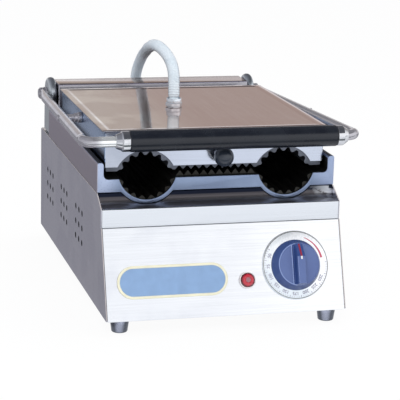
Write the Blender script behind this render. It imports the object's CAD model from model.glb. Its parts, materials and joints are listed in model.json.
"""Looks of a countertop contact grill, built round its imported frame.

Lengths are in metres. The classes work in the maker's frame: X to the right, Y from the controls to
the hinge with Y zero on the lip's front face, Z up from the table. MAKER_SHIFT takes a point from
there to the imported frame.
"""

import json
import logging
import math
from dataclasses import dataclass, field
from enum import Enum
from functools import cached_property
from typing import Sequence

import bmesh
import bpy
import numpy as np
from mathutils import Matrix, Vector


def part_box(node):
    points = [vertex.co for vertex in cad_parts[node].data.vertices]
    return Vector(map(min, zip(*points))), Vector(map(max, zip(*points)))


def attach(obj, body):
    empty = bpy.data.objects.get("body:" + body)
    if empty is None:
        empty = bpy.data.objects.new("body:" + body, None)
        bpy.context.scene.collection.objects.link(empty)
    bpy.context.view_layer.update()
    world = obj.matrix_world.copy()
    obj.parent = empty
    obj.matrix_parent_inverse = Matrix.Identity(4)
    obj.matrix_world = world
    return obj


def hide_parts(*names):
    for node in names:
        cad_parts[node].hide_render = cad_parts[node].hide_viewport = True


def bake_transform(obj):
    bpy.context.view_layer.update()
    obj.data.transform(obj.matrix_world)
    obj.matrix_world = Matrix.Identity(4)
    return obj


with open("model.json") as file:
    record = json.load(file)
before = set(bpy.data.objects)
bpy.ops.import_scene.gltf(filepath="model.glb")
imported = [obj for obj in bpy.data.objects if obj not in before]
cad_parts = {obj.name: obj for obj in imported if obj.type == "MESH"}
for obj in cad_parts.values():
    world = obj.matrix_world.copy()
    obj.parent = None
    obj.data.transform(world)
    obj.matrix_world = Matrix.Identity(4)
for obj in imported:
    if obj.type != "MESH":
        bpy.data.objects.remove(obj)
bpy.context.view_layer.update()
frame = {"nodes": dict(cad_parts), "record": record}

MAKER_SHIFT = Vector((0.0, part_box("top_deck")[0].y, 0.0))
LOG = logging.getLogger("grill")

Array = np.ndarray
Pair = tuple[float, float]
Triple = tuple[float, float, float]
Mesh, Piece = bpy.types.Mesh, bpy.types.Object
Material, Node = bpy.types.Material, bpy.types.Node
NodeTree, Socket = bpy.types.NodeTree, bpy.types.NodeSocket

SIDES = {"left": -1, "right": 1}
DIAL_AT: Pair = (0.0828, 0.0534)
LAMP_AT: Pair = (0.0247, 0.0390)
CHANNEL_X = 0.0818
HINGE: Pair = (0.3635, 0.2005)
PLATE_PIN: Pair = (0.170, 0.20601)
LOCK: Pair = (0.0057, 0.1865)
HOSE_AT: Pair = (-0.0161, 0.1711)


# Shapes


class Look(Enum):
    """How a piece's edges are shaded."""

    SMOOTH = 180.0
    ROUNDED = 40.0
    FOLDED = 24.0
    PLAIN = 12.0


def settle(name: str, mesh: Mesh, look: Look = Look.ROUNDED, weld: float = 1e-6) -> Piece:
    """Welds a closed mesh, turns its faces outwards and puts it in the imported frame.

    Args:
        name: the piece's name.
        mesh: its mesh, in the maker's frame.
        look: the angle over which an edge is drawn sharp.
        weld: points closer than this become one.

    Returns:
        The object, at the origin, with its place in its mesh.
    """
    shape = bmesh.new()
    shape.from_mesh(mesh)
    bmesh.ops.remove_doubles(shape, verts=shape.verts, dist=weld)
    bmesh.ops.dissolve_degenerate(shape, edges=shape.edges, dist=weld / 10)
    if shape.calc_volume(signed=True) < 0:
        bmesh.ops.reverse_faces(shape, faces=shape.faces)
    shape.to_mesh(mesh)
    shape.free()
    mesh.transform(Matrix.Translation(MAKER_SHIFT))
    mesh.shade_smooth()
    if look is not Look.SMOOTH:
        mesh.set_sharp_from_angle(angle=math.radians(look.value))
    obj = bpy.data.objects.new(name, mesh)
    bpy.context.scene.collection.objects.link(obj)
    return obj


def skin(
    name: str, points: Array, look: Look = Look.ROUNDED, place: Matrix | None = None, weld: float = 1e-6,
    caps: bool = True, ring: bool = False
) -> Piece:
    """Makes a piece from rings of points: quads join point (i, j) to (i + 1, j) and (i, j + 1).

    Args:
        name: the piece's name.
        points: array of rings x points x 3; each ring closes on itself.
        look: how its edges are shaded.
        place: where the points' own frame stands, or None for the maker's frame.
        weld: points closer than this become one.
        caps: whether the first and last rings are closed with one face each.
        ring: whether the last ring joins the first.

    Returns:
        The piece.
    """
    rows, columns, _ = points.shape
    i = np.arange(rows if ring else rows - 1)[:, None]
    j = np.arange(columns)[None, :]
    after_i, after_j = (i + 1) % rows, (j + 1) % columns
    quads = [i * columns + j, i * columns + after_j, after_i * columns + after_j, after_i * columns + j]
    faces = np.stack(quads, axis=-1).reshape(-1, 4).tolist()
    if caps and not ring:
        faces.append(list(range(columns))[::-1])
        faces.append(list(range((rows - 1) * columns, rows * columns)))
    mesh = bpy.data.meshes.new(name)
    mesh.from_pydata(points.reshape(-1, 3).tolist(), [], faces)
    if place is not None:
        mesh.transform(place)
    return settle(name, mesh, look, weld)


def turned(
    name: str, profile: Array, place: Matrix, sides: int = 48, look: Look = Look.ROUNDED, ring: bool = False
) -> Piece:
    """Turns a profile about its own Z axis: (r, h) goes to (r cos a, r sin a, h) for a round the circle.

    Args:
        name: the piece's name.
        profile: array of (radius, height).
        place: where its axis stands, in the maker's frame.
        sides: facets round the circle.
        look: how its edges are shaded.
        ring: whether the profile is a closed loop round a bore.

    Returns:
        The piece.
    """
    angles = np.linspace(0, 2 * math.pi, sides, endpoint=False)
    radius, height = profile[:, 0][:, None], profile[:, 1][:, None]
    points = np.stack([radius * np.cos(angles), radius * np.sin(angles), height + 0 * angles], axis=-1)
    return skin(name, points, look, place, caps=False, ring=ring)


def arc(centre: Pair, radius: float, start: float, end: float, steps: int) -> Array:
    """Points on a circle from one angle to another, in degrees, both included."""
    angles = np.radians(np.linspace(start, end, steps + 1))
    return np.column_stack([centre[0] + radius * np.cos(angles), centre[1] + radius * np.sin(angles)])


def filleted(corners: Sequence[Triple], steps: int = 6, closed: bool = True) -> Array:
    """Rounds the corners of a flat line: each corner with a radius becomes an arc that touches both sides.

    Args:
        corners: (across, up, radius) of each corner; a radius of zero stays sharp.
        steps: points along each arc.
        closed: whether the last corner joins the first.

    Returns:
        Array of (across, up).
    """
    count = len(corners)
    flat = np.array([corner[:2] for corner in corners], float)
    out: list[Array] = []
    for index, (_, _, radius) in enumerate(corners):
        here = flat[index]
        if radius <= 0 or (not closed and index in (0, count - 1)):
            out.append(here[None, :])
            continue
        before, after = flat[index - 1] - here, flat[(index + 1) % count] - here
        to_before, to_after = before / np.linalg.norm(before), after / np.linalg.norm(after)
        half = math.acos(float(np.clip(to_before @ to_after, -1, 1))) / 2
        if abs(half - math.pi / 2) < 1e-4:
            out.append(here[None, :])
            continue
        reach = min(radius / math.tan(half), 0.49 * np.linalg.norm(before), 0.49 * np.linalg.norm(after))
        radius = reach * math.tan(half)
        middle = (to_before + to_after) / np.linalg.norm(to_before + to_after)
        centre = here + middle * radius / math.sin(half)
        first, last = here + to_before * reach - centre, here + to_after * reach - centre
        start = math.atan2(first[1], first[0])
        turn = math.atan2(first[0] * last[1] - first[1] * last[0], float(first @ last))
        angles = start + turn * np.linspace(0, 1, steps + 1)
        out.append(centre + radius * np.column_stack([np.cos(angles), np.sin(angles)]))
    return np.vstack(out)


def offset_loop(loop: Array, distance: float) -> Array:
    """Moves each point of a closed flat loop inwards along the middle of its two sides' normals.

    Args:
        loop: array of (across, up).
        distance: how far the sides move.

    Returns:
        The moved loop.
    """
    before, after = np.roll(loop, 1, axis=0), np.roll(loop, -1, axis=0)
    first = (loop - before) / np.maximum(np.linalg.norm(loop - before, axis=1), 1e-9)[:, None]
    second = (after - loop) / np.maximum(np.linalg.norm(after - loop, axis=1), 1e-9)[:, None]
    x, y = loop[:, 0], loop[:, 1]
    way = 1.0 if np.sum(x * np.roll(y, -1) - np.roll(x, -1) * y) > 0 else -1.0
    normal = first + second
    normal = np.column_stack([-normal[:, 1], normal[:, 0]])
    length = np.maximum(np.linalg.norm(normal, axis=1), 0.6)
    return loop + way * distance * normal / length[:, None]


def bent(corners: Sequence[Triple], steps: int = 5) -> Array:
    """An open flat line with rounded corners, each given as (across, up, radius)."""
    return filleted(corners, steps, closed=False)


def rectangle(low: Pair, high: Pair, radius: float = 0.0, steps: int = 6) -> Array:
    """A flat loop round a rectangle, with round corners.

    Args:
        low: its lower left corner.
        high: its upper right corner.
        radius: of its four corners.
        steps: points along each corner.

    Returns:
        Array of (across, up).
    """
    (left, bottom), (right, top) = low, high
    return filleted([
        (x, y, radius) for x, y in ((left, bottom), (right, bottom), (right, top), (left, top))
    ], steps)


def level(loop: Array, height: float) -> Array:
    """Lifts a flat loop to a height."""
    return np.column_stack([loop, np.full(len(loop), height)])


def quarter_round(radius: float, steps: int) -> list[Pair]:
    """Points along a quarter circle that rounds a rim, as (distance in from the side, from the end)."""
    turns = np.radians(np.linspace(0, 90, steps + 1))
    return list(zip(radius * (1 - np.sin(turns)), radius * (1 - np.cos(turns))))


def layered(
    name: str, layers: Sequence[tuple[Array, float]], look: Look = Look.ROUNDED, place: Matrix | None = None
) -> Piece:
    """Makes a closed piece through flat loops, each lifted to a height of its own."""
    return skin(name, np.stack([level(loop, height) for loop, height in layers]), look, place)


def slab(
    name: str, loop: Array, thickness: float, place: Matrix, edge: float = 0.0, look: Look = Look.ROUNDED
) -> Piece:
    """Gives a closed flat loop a thickness, with both rims rounded by rings set in along a quarter circle.

    Args:
        name: the piece's name.
        loop: array of (across, up).
        thickness: along the loop's own axis, half to each side.
        place: where the loop's plane stands, in the maker's frame.
        edge: the rims' radius.
        look: how its edges are shaded.

    Returns:
        The piece.
    """
    half = thickness / 2
    rim = quarter_round(edge, 4) if edge > 0 else [(0.0, 0.0)]
    rings = [level(offset_loop(loop, inset), drop - half) for inset, drop in rim]
    rings += [level(offset_loop(loop, inset), half - drop) for inset, drop in rim[::-1]]
    return skin(name, np.stack(rings), look, place)


def pierced_plate(name: str, loops: Sequence[Array], thickness: float, place: Matrix, edge: float) -> Piece:
    """A flat plate with holes: a filled curve of several loops, with a thickness and a small round rim.

    Args:
        name: the piece's name.
        loops: the outline first, then each hole, as arrays of (across, up).
        thickness: along the plate's own axis, half to each side.
        place: where its plane stands, in the maker's frame.
        edge: the rims' radius.

    Returns:
        The piece.
    """
    curve = bpy.data.curves.new(name, "CURVE")
    curve.dimensions = "2D"
    curve.fill_mode = "BOTH"
    curve.extrude = thickness / 2 - edge
    curve.bevel_depth = edge
    curve.bevel_resolution = 1
    curve.offset = -edge
    for loop in loops:
        spline = curve.splines.new("POLY")
        spline.points.add(len(loop) - 1)
        flat = np.column_stack([loop, np.zeros(len(loop)), np.ones(len(loop))]).astype(np.float32)
        spline.points.foreach_set("co", flat.ravel())
        spline.use_cyclic_u = True
    return baked_curve(name, curve, place, weld=2e-5)


def frames_along(path: Array, up: Sequence[float]) -> tuple[Array, Array]:
    """Two unit vectors square to a path at each point, carried along it with the least turning.

    Args:
        path: array of points.
        up: a direction that the second vector starts close to.

    Returns:
        The first and second vectors, one row each per point.
    """
    tangents = np.gradient(path, axis=0)
    tangents /= np.linalg.norm(tangents, axis=1)[:, None]
    second = np.array(up, float)
    firsts, seconds = [], []
    for tangent in tangents:
        second = second - (second @ tangent) * tangent
        second /= np.linalg.norm(second)
        firsts.append(np.cross(second, tangent))
        seconds.append(second)
    return np.array(firsts), np.array(seconds)


def swept(
    name: str, ring: Array, path: Array, up: Sequence[float], scales: Array, look: Look = Look.ROUNDED,
    weld: float = 1e-6
) -> Piece:
    """Carries a closed flat ring along a path: point p + s1 a u + s2 b v, with u and v square to the path.

    Args:
        name: the piece's name.
        ring: array of (a, b).
        path: array of points, in the maker's frame.
        up: the direction that v starts close to.
        scales: array of (s1, s2) for each point of the path.
        look: how its edges are shaded.
        weld: points closer than this become one.

    Returns:
        The piece.
    """
    first, second = frames_along(path, up)
    aside = (scales[:, 0][:, None] * ring[None, :, 0])[:, :, None]
    above = (scales[:, 1][:, None] * ring[None, :, 1])[:, :, None]
    points = path[:, None, :] + first[:, None, :] * aside + second[:, None, :] * above
    return skin(name, points, look, weld=weld)


def baked_curve(name: str, curve: bpy.types.Curve, place: Matrix, weld: float = 1e-6) -> Piece:
    """Turns a flat curve into a piece.

    Args:
        name: the piece's name.
        curve: the curve, closed and filled.
        place: where its plane stands, in the maker's frame.
        weld: points closer than this become one.

    Returns:
        The piece.
    """
    holder = bpy.data.objects.new(name + "_curve", curve)
    bpy.context.scene.collection.objects.link(holder)
    mesh = bpy.data.meshes.new_from_object(holder.evaluated_get(bpy.context.evaluated_depsgraph_get()))
    bpy.data.objects.remove(holder)
    mesh.name = name
    mesh.transform(place)
    return settle(name, mesh, Look.PLAIN, weld)


def merged(name: str, objects: Sequence[Piece]) -> Piece:
    """Joins the shapes of several pieces into one piece and removes them.

    Args:
        name: the new piece's name.
        objects: the pieces, which are removed.

    Returns:
        The new piece.
    """
    shape = bmesh.new()
    for obj in objects:
        shape.from_mesh(obj.data)
        bpy.data.objects.remove(obj)
    mesh = bpy.data.meshes.new(name)
    shape.to_mesh(mesh)
    shape.free()
    joined = bpy.data.objects.new(name, mesh)
    bpy.context.scene.collection.objects.link(joined)
    return joined


def circle(radius: float, sides: int) -> Array:
    """A closed ring of points on a circle."""
    return arc((0, 0), radius, 0, 360, sides)[:-1]


def spaced(path: Array, count: int) -> Array:
    """The same line with points at even distances along it.

    Args:
        path: array of points.
        count: how many points it gets.

    Returns:
        Array of points.
    """
    lengths = np.concatenate([[0], np.cumsum(np.linalg.norm(np.diff(path, axis=0), axis=1))])
    wanted = np.linspace(0, lengths[-1], count)
    return np.column_stack([np.interp(wanted, lengths, path[:, k]) for k in range(path.shape[1])])


def catmull(points: Array, steps: int = 12) -> Array:
    """A smooth line through flat points: cubic spans whose end slopes are half their neighbours' difference.

    Args:
        points: the points.
        steps: how many pieces each span is cut into.

    Returns:
        Array of points.
    """
    padded = np.vstack([2 * points[0] - points[1], points, 2 * points[-1] - points[-2]])
    t = np.linspace(0, 1, steps, endpoint=False)[None, :, None]
    p0, p1, p2, p3 = (padded[k : len(padded) - 3 + k][:, None, :] for k in range(4))
    square, cube = 2 * p0 - 5 * p1 + 4 * p2 - p3, 3 * p1 - p0 - 3 * p2 + p3
    curve = 0.5 * (2 * p1 + (p2 - p0) * t + square * t**2 + cube * t**3)
    return np.vstack([curve.reshape(-1, points.shape[1]), points[-1]])


def carved(obj: Piece, cutters: Sequence[Piece], look: Look = Look.ROUNDED) -> Piece:
    """Takes the cutters' space out of an object, once and for all, and removes the cutters.

    Args:
        obj: the piece.
        cutters: what is taken out.
        look: how its edges are shaded.

    Returns:
        The piece.
    """
    for cutter in cutters:
        hole = obj.modifiers.new("hole", "BOOLEAN")
        hole.operation = "DIFFERENCE"
        hole.solver = "EXACT"
        hole.object = cutter
    graph = bpy.context.evaluated_depsgraph_get()
    mesh = bpy.data.meshes.new_from_object(obj.evaluated_get(graph))
    obj.modifiers.clear()
    obj.data = mesh
    mesh.shade_smooth()
    mesh.set_sharp_from_angle(angle=math.radians(look.value))
    for cutter in cutters:
        bpy.data.objects.remove(cutter)
    return obj


def looking(origin: Sequence[float], across: Sequence[float], up: Sequence[float]) -> Matrix:
    """A place whose X is along across, Y along up, and Z square to both.

    Args:
        origin: where it stands.
        across: its X direction.
        up: about its Y direction.

    Returns:
        The place.
    """
    x, y = Vector(across).normalized(), Vector(up).normalized()
    z = x.cross(y).normalized()
    y = z.cross(x)
    return Matrix.Translation(Vector(origin)) @ Matrix((x, y, z)).transposed().to_4x4()


def facing_x(x: float = 0.0, y: float = 0.0, z: float = 0.0) -> Matrix:
    """A plane whose loop's (across, up) are Y and Z, and whose axis is X."""
    return looking((x, y, z), (0, 1, 0), (0, 0, 1))


def facing_y(y: float = 0.0) -> Matrix:
    """A plane whose loop's (across, up) are X and Z, and whose axis points to the front."""
    return looking((0, y, 0), (1, 0, 0), (0, 0, 1))


def facing_z(z: float = 0.0) -> Matrix:
    """A plane whose loop's (across, up) are X and Y, and whose axis is Z."""
    return looking((0, 0, z), (1, 0, 0), (0, 1, 0))


# Finishes


class Tree:
    """A short way to add nodes to a tree and join them."""

    def __init__(self, tree: NodeTree) -> None:
        """Keeps the tree."""
        self.tree = tree

    @classmethod
    def emptied(cls, owner: bpy.types.ID) -> "Tree":
        """The tree of a world or material, with no nodes in it.

        Args:
            owner: the world or material.

        Returns:
            Its tree.
        """
        owner.use_nodes = True
        owner.node_tree.nodes.clear()
        return cls(owner.node_tree)

    def coordinates(self, kind: str) -> list[Socket]:
        """The X, Y and Z of one of the texture coordinates.

        Args:
            kind: Generated or Object.

        Returns:
            The three values.
        """
        split = self.node("ShaderNodeSeparateXYZ")
        self.join(self.node("ShaderNodeTexCoord").outputs[kind], split.inputs[0])
        return list(split.outputs)

    def either(self, share: Socket, first: Socket, second: Socket) -> Socket:
        """Mixes two shaders.

        Args:
            share: how much of the second shows.
            first: the first shader.
            second: the second shader.

        Returns:
            The mixed shader.
        """
        made = self.node("ShaderNodeMixShader")
        for index, source in enumerate((share, first, second)):
            self.join(source, made.inputs[index])
        return made.outputs[0]

    def node(self, kind: str, **settings: object) -> Node:
        """Adds a node and sets its own properties.

        Args:
            kind: Blender's name for it.
            settings: its own properties.

        Returns:
            The node.
        """
        made = self.tree.nodes.new(kind)
        for name, value in settings.items():
            setattr(made, name, value)
        return made

    def join(self, source: Socket, target: Socket) -> None:
        """Joins an output to an input."""
        self.tree.links.new(source, target)

    def maths(self, operation: str, first: object, second: object = 0.0, clamp: bool = False) -> Socket:
        """Adds a Math node; each input is a socket or a number.

        Args:
            operation: Blender's name for it.
            first: the first input.
            second: the second input.
            clamp: whether the answer is kept between 0 and 1.

        Returns:
            The node's output.
        """
        made = self.node("ShaderNodeMath", operation=operation, use_clamp=clamp)
        for index, value in enumerate((first, second)):
            if isinstance(value, Socket):
                self.join(value, made.inputs[index])
            else:
                made.inputs[index].default_value = value
        return made.outputs[0]

    def ramp(
        self, source: Socket, low: float, high: float, to_low: float = 0.0, to_high: float = 1.0
    ) -> Socket:
        """Maps a range of a value smoothly to another range.

        Args:
            source: the value.
            low: the start of its range.
            high: the end of its range.
            to_low: what the start becomes.
            to_high: what the end becomes.

        Returns:
            The mapped value.
        """
        made = self.node("ShaderNodeMapRange", interpolation_type="SMOOTHSTEP")
        self.join(source, made.inputs["Value"])
        for label, value in (
            ("From Min", low), ("From Max", high), ("To Min", to_low), ("To Max", to_high)
        ):
            made.inputs[label].default_value = value
        return made.outputs["Result"]

    def mixed(self, factor: object, first: object, second: object) -> Socket:
        """Mixes two colours.

        Args:
            factor: how much of the second shows, a socket or a number.
            first: the first colour, a socket or a value.
            second: the second colour.

        Returns:
            The mixed colour.
        """
        made = self.node("ShaderNodeMix", data_type="RGBA")
        for value, target in ((factor, made.inputs[0]), (first, made.inputs[6]), (second, made.inputs[7])):
            if isinstance(value, Socket):
                self.join(value, target)
            elif isinstance(value, tuple):
                target.default_value = (*value, 1.0)[:4]
            else:
                target.default_value = value
        return made.outputs[2]


def new_group(name: str, inputs: dict[str, tuple[str, object]], outputs: Sequence[str]) -> tuple:
    """Starts a shader node group with named inputs, and outputs from 0 to 1.

    Args:
        name: the group's name.
        inputs: name to (socket type, default).
        outputs: their names.

    Returns:
        Its tree, the sockets that give its inputs and the sockets that take its outputs.
    """
    tree = bpy.data.node_groups.new(name, "ShaderNodeTree")
    for label, (kind, default) in inputs.items():
        made = tree.interface.new_socket(label, in_out="INPUT", socket_type=kind)
        if default is not None:
            made.default_value = default
    for label in outputs:
        tree.interface.new_socket(label, in_out="OUTPUT", socket_type="NodeSocketFloat")
    return Tree(tree), tree.nodes.new("NodeGroupInput").outputs, tree.nodes.new("NodeGroupOutput").inputs


def noise_node(nodes: Tree, vector: Socket, **settings: float) -> Node:
    """Adds a noise texture that reads a vector, with its own settings.

    Args:
        nodes: the tree.
        vector: what it reads.
        settings: its inputs' values.

    Returns:
        The node.
    """
    noise = nodes.node("ShaderNodeTexNoise")
    nodes.join(vector, noise.inputs["Vector"])
    for label, value in settings.items():
        noise.inputs[label].default_value = value
    return noise


def grain_group() -> NodeTree:
    """Fine lines along one axis, as rolling and polishing leave on sheet metal.

    Inputs: Vector, Stretch (how many lines per metre on each axis). Output: Lines, 0 to 1.

    Returns:
        The group.
    """
    inputs = {"Vector": ("NodeSocketVector", None), "Stretch": ("NodeSocketVector", (8.0, 900.0, 900.0))}
    nodes, given, out = new_group("polishing_lines", inputs, ("Lines",))
    spread = nodes.node("ShaderNodeVectorMath", operation="MULTIPLY")
    nodes.join(given["Vector"], spread.inputs[0])
    nodes.join(given["Stretch"], spread.inputs[1])
    noise = noise_node(nodes, spread.outputs[0], Scale=1.0, Detail=3.0, Roughness=0.6)
    nodes.join(nodes.ramp(noise.outputs[0], 0.3, 0.7), out["Lines"])
    return nodes.tree


def cloud_group() -> NodeTree:
    """Soft blotches, as handling leaves on any surface.

    Inputs: Vector, Scale, Sharpness. Output: Mask, 0 to 1.

    Returns:
        The group.
    """
    inputs = {"Scale": ("NodeSocketFloat", 18.0), "Sharpness": ("NodeSocketFloat", 0.12)}
    nodes, given, out = new_group(
        "handling_marks", {"Vector": ("NodeSocketVector", None), **inputs}, ("Mask",)
    )
    noise = noise_node(nodes, given["Vector"], Detail=4.0, Distortion=0.4)
    nodes.join(given["Scale"], noise.inputs["Scale"])
    scaled = nodes.maths("DIVIDE", nodes.maths("SUBTRACT", noise.outputs[0], 0.5), given["Sharpness"])
    nodes.join(nodes.maths("ADD", scaled, 0.5, clamp=True), out["Mask"])
    return nodes.tree


def pit_group() -> NodeTree:
    """The skin of a sand casting: fine pits over a coarser ripple.

    Inputs: Vector, Scale. Outputs: Height and Pits, 0 to 1.

    Returns:
        The group.
    """
    inputs = {"Vector": ("NodeSocketVector", None), "Scale": ("NodeSocketFloat", 900.0)}
    nodes, given, out = new_group("cast_skin", inputs, ("Height", "Pits"))
    fine = noise_node(nodes, given["Vector"], Detail=5.0, Roughness=0.65)
    nodes.join(given["Scale"], fine.inputs["Scale"])
    coarse = nodes.node("ShaderNodeTexVoronoi")
    nodes.join(given["Vector"], coarse.inputs["Vector"])
    nodes.join(nodes.maths("MULTIPLY", given["Scale"], 0.5), coarse.inputs["Scale"])
    pits = nodes.ramp(coarse.outputs["Distance"], 0.0, 0.35, 1.0, 0.0)
    both = nodes.maths("SUBTRACT", fine.outputs[0], nodes.maths("MULTIPLY", pits, 0.35))
    nodes.join(both, out["Height"])
    nodes.join(pits, out["Pits"])
    return nodes.tree


GROUP_MAKERS = {"polishing_lines": grain_group, "handling_marks": cloud_group, "cast_skin": pit_group}


def shared_group(name: str) -> NodeTree:
    """The node group of that name, built when it is first asked for."""
    return bpy.data.node_groups.get(name) or GROUP_MAKERS[name]()


class Grain(Enum):
    """The axis that a sheet's polishing lines run along, as lines per metre on each axis."""

    ALONG_X = (10.0, 700.0, 700.0)
    ALONG_Y = (700.0, 10.0, 700.0)
    ALONG_Z = (700.0, 700.0, 10.0)


class Paint(Tree):
    """A material under construction: its tree, its Principled BSDF and the Object coordinates."""

    def __init__(self, name: str, colour: Triple, metallic: float, roughness: float) -> None:
        """Starts a material with a plain colour.

        Args:
            name: the material's name.
            colour: its plain colour.
            metallic: 0 or 1.
            roughness: 0 to 1.
        """
        self.material = bpy.data.materials.new(name)
        self.material.use_nodes = True
        super().__init__(self.material.node_tree)
        self.shader = self.tree.nodes["Principled BSDF"]
        self.shader.inputs["Base Color"].default_value = (*colour, 1.0)
        self.shader.inputs["Metallic"].default_value = metallic
        self.shader.inputs["Roughness"].default_value = roughness
        self.material.diffuse_color = (*colour, 1.0)
        self.place = self.node("ShaderNodeTexCoord").outputs["Object"]

    @cached_property
    def axes(self) -> list[Socket]:
        """The X, Y and Z of the Object coordinates."""
        return self.coordinates("Object")

    def group(self, name: str, **values: object) -> Node:
        """Places a shared group, reading the Object coordinates, with its own values.

        Args:
            name: the group's name.
            values: its inputs' values.

        Returns:
            The node.
        """
        made = self.node("ShaderNodeGroup", node_tree=shared_group(name))
        self.join(self.place, made.inputs["Vector"])
        for label, value in values.items():
            made.inputs[label].default_value = value
        return made

    def bump(self, height: Socket, depth: float) -> None:
        """Raises the surface by a height socket, up to depth metres.

        Args:
            height: the height, 0 to 1.
            depth: how far a height of 1 stands out.
        """
        made = self.node("ShaderNodeBump")
        made.inputs["Strength"].default_value = 1.0
        made.inputs["Distance"].default_value = depth
        self.join(height, made.inputs["Height"])
        self.join(made.outputs[0], self.shader.inputs["Normal"])

    def colour(self, source: Socket) -> None:
        """Feeds the base colour."""
        self.join(source, self.shader.inputs["Base Color"])

    def roughness(self, source: Socket) -> None:
        """Feeds the roughness."""
        self.join(source, self.shader.inputs["Roughness"])

    def along(self, axis: str, start: float, end: float) -> Socket:
        """A mask that rises from 0 to 1 between two distances along an axis of the maker's frame.

        Args:
            axis: X, Y or Z.
            start: where the mask is 0.
            end: where the mask is 1.

        Returns:
            The mask.
        """
        index = "XYZ".index(axis)
        return self.ramp(self.axes[index], start + MAKER_SHIFT[index], end + MAKER_SHIFT[index])

    def faded(self, colour: object, fades: Sequence["Fade"]) -> object:
        """Mixes further colours over a first one, each along its own axis.

        Args:
            colour: the first colour, a socket or a value.
            fades: the changes, in order.

        Returns:
            The mixed colour, or the first one where there is no fade.
        """
        for fade in fades:
            colour = self.mixed(self.along(fade.axis, fade.start, fade.end), colour, fade.colour)
        return colour


@dataclass(frozen=True)
class Fade:
    """A change of colour across a piece, from start to end along one axis of the maker's frame."""

    axis: str
    start: float
    end: float
    colour: Triple


@dataclass(frozen=True)
class SheetSteel:
    """Polished stainless sheet with fine lines one way and soft handling marks."""

    name: str
    colour: Triple = (0.66, 0.67, 0.69)
    shade: Triple = (0.60, 0.61, 0.63)
    roughness: float = 0.16
    rough_span: float = 0.07
    grain: Grain = Grain.ALONG_X
    fades: tuple[Fade, ...] = ()

    def make(self) -> Material:
        """Builds the material.

        Returns:
            The material.
        """
        paint = Paint(self.name, self.colour, 1.0, self.roughness)
        lines = paint.group("polishing_lines", Stretch=self.grain.value).outputs["Lines"]
        mask = paint.group("handling_marks", Scale=14.0).outputs["Mask"]
        lined = paint.ramp(lines, 0.0, 1.0, self.roughness, self.roughness + self.rough_span)
        paint.roughness(paint.maths("ADD", lined, paint.maths("MULTIPLY", mask, 0.03)))
        tone = paint.faded(paint.mixed(mask, self.colour, self.shade), self.fades)
        paint.colour(paint.mixed(paint.maths("MULTIPLY", lines, 0.16), tone, self.shade))
        return paint.material


@dataclass(frozen=True)
class LedgeSteel:
    """The folded deck's sheet: clean on the lip, browned on the ledge, rubbed bright at one end."""

    name: str = "lip_steel"
    colour: Triple = (0.86, 0.89, 0.93)
    stain: Triple = (0.42, 0.41, 0.44)
    streak: Triple = (0.54, 0.52, 0.55)
    riser: Triple = (0.105, 0.098, 0.105)
    shaded: Triple = (0.016, 0.020, 0.036)
    roughness: float = 0.12
    stain_roughness: float = 0.34
    ledge: Pair = (0.0008, 0.0030)
    deck: Pair = (0.034, 0.042)
    rise: Pair = (0.1358, 0.1395)
    shadow: Pair = (0.1425, 0.1440)
    rubbed: Pair = (0.104, 0.150)

    def make(self) -> Material:
        """Builds the material.

        Returns:
            The material.
        """
        paint = Paint(self.name, self.colour, 1.0, self.roughness)
        lines = paint.group("polishing_lines", Stretch=Grain.ALONG_X.value).outputs["Lines"]
        mask = paint.group("handling_marks", Scale=160.0, Sharpness=0.10).outputs["Mask"]
        before = paint.along("Y", self.deck[1], self.deck[0])
        stained = paint.maths("MULTIPLY", paint.along("Y", *self.ledge), before)
        rubbed = paint.maths("MULTIPLY", paint.along("X", *self.rubbed), mask)
        brown = paint.mixed(lines, self.stain, self.streak)
        brown = paint.mixed(paint.along("Z", *self.rise), brown, self.riser)
        brown = paint.mixed(paint.along("Z", *self.shadow), brown, self.shaded)
        brown = paint.mixed(rubbed, brown, self.colour)
        paint.colour(paint.mixed(stained, self.colour, brown))
        clean = paint.ramp(lines, 0.0, 1.0, self.roughness, self.roughness + 0.06)
        rough = paint.maths("MULTIPLY", stained, self.stain_roughness - self.roughness)
        paint.roughness(paint.maths("ADD", clean, rough))
        return paint.material


@dataclass(frozen=True)
class CastMetal:
    """Cast aluminium: a pitted skin, paler on its high spots; food-darkened inside if seasoned."""

    name: str
    colour: Triple = (0.40, 0.43, 0.50)
    dark: Triple = (0.26, 0.28, 0.34)
    roughness: float = 0.42
    scale: float = 900.0
    depth: float = 0.00010
    fades: tuple[Fade, ...] = ()

    def make(self) -> Material:
        """Builds the material.

        Returns:
            The material.
        """
        paint = Paint(self.name, self.colour, 1.0, self.roughness)
        pits = paint.group("cast_skin", Scale=self.scale).outputs
        mask = paint.group("handling_marks", Scale=30.0, Sharpness=0.3).outputs["Mask"]
        blotched = paint.faded(paint.mixed(mask, self.colour, self.dark), self.fades)
        paint.colour(paint.mixed(paint.maths("MULTIPLY", pits["Pits"], 0.5), blotched, self.dark))
        paint.roughness(paint.ramp(pits["Height"], 0.3, 0.7, self.roughness + 0.12, self.roughness))
        paint.bump(pits["Height"], self.depth)
        return paint.material


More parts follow.
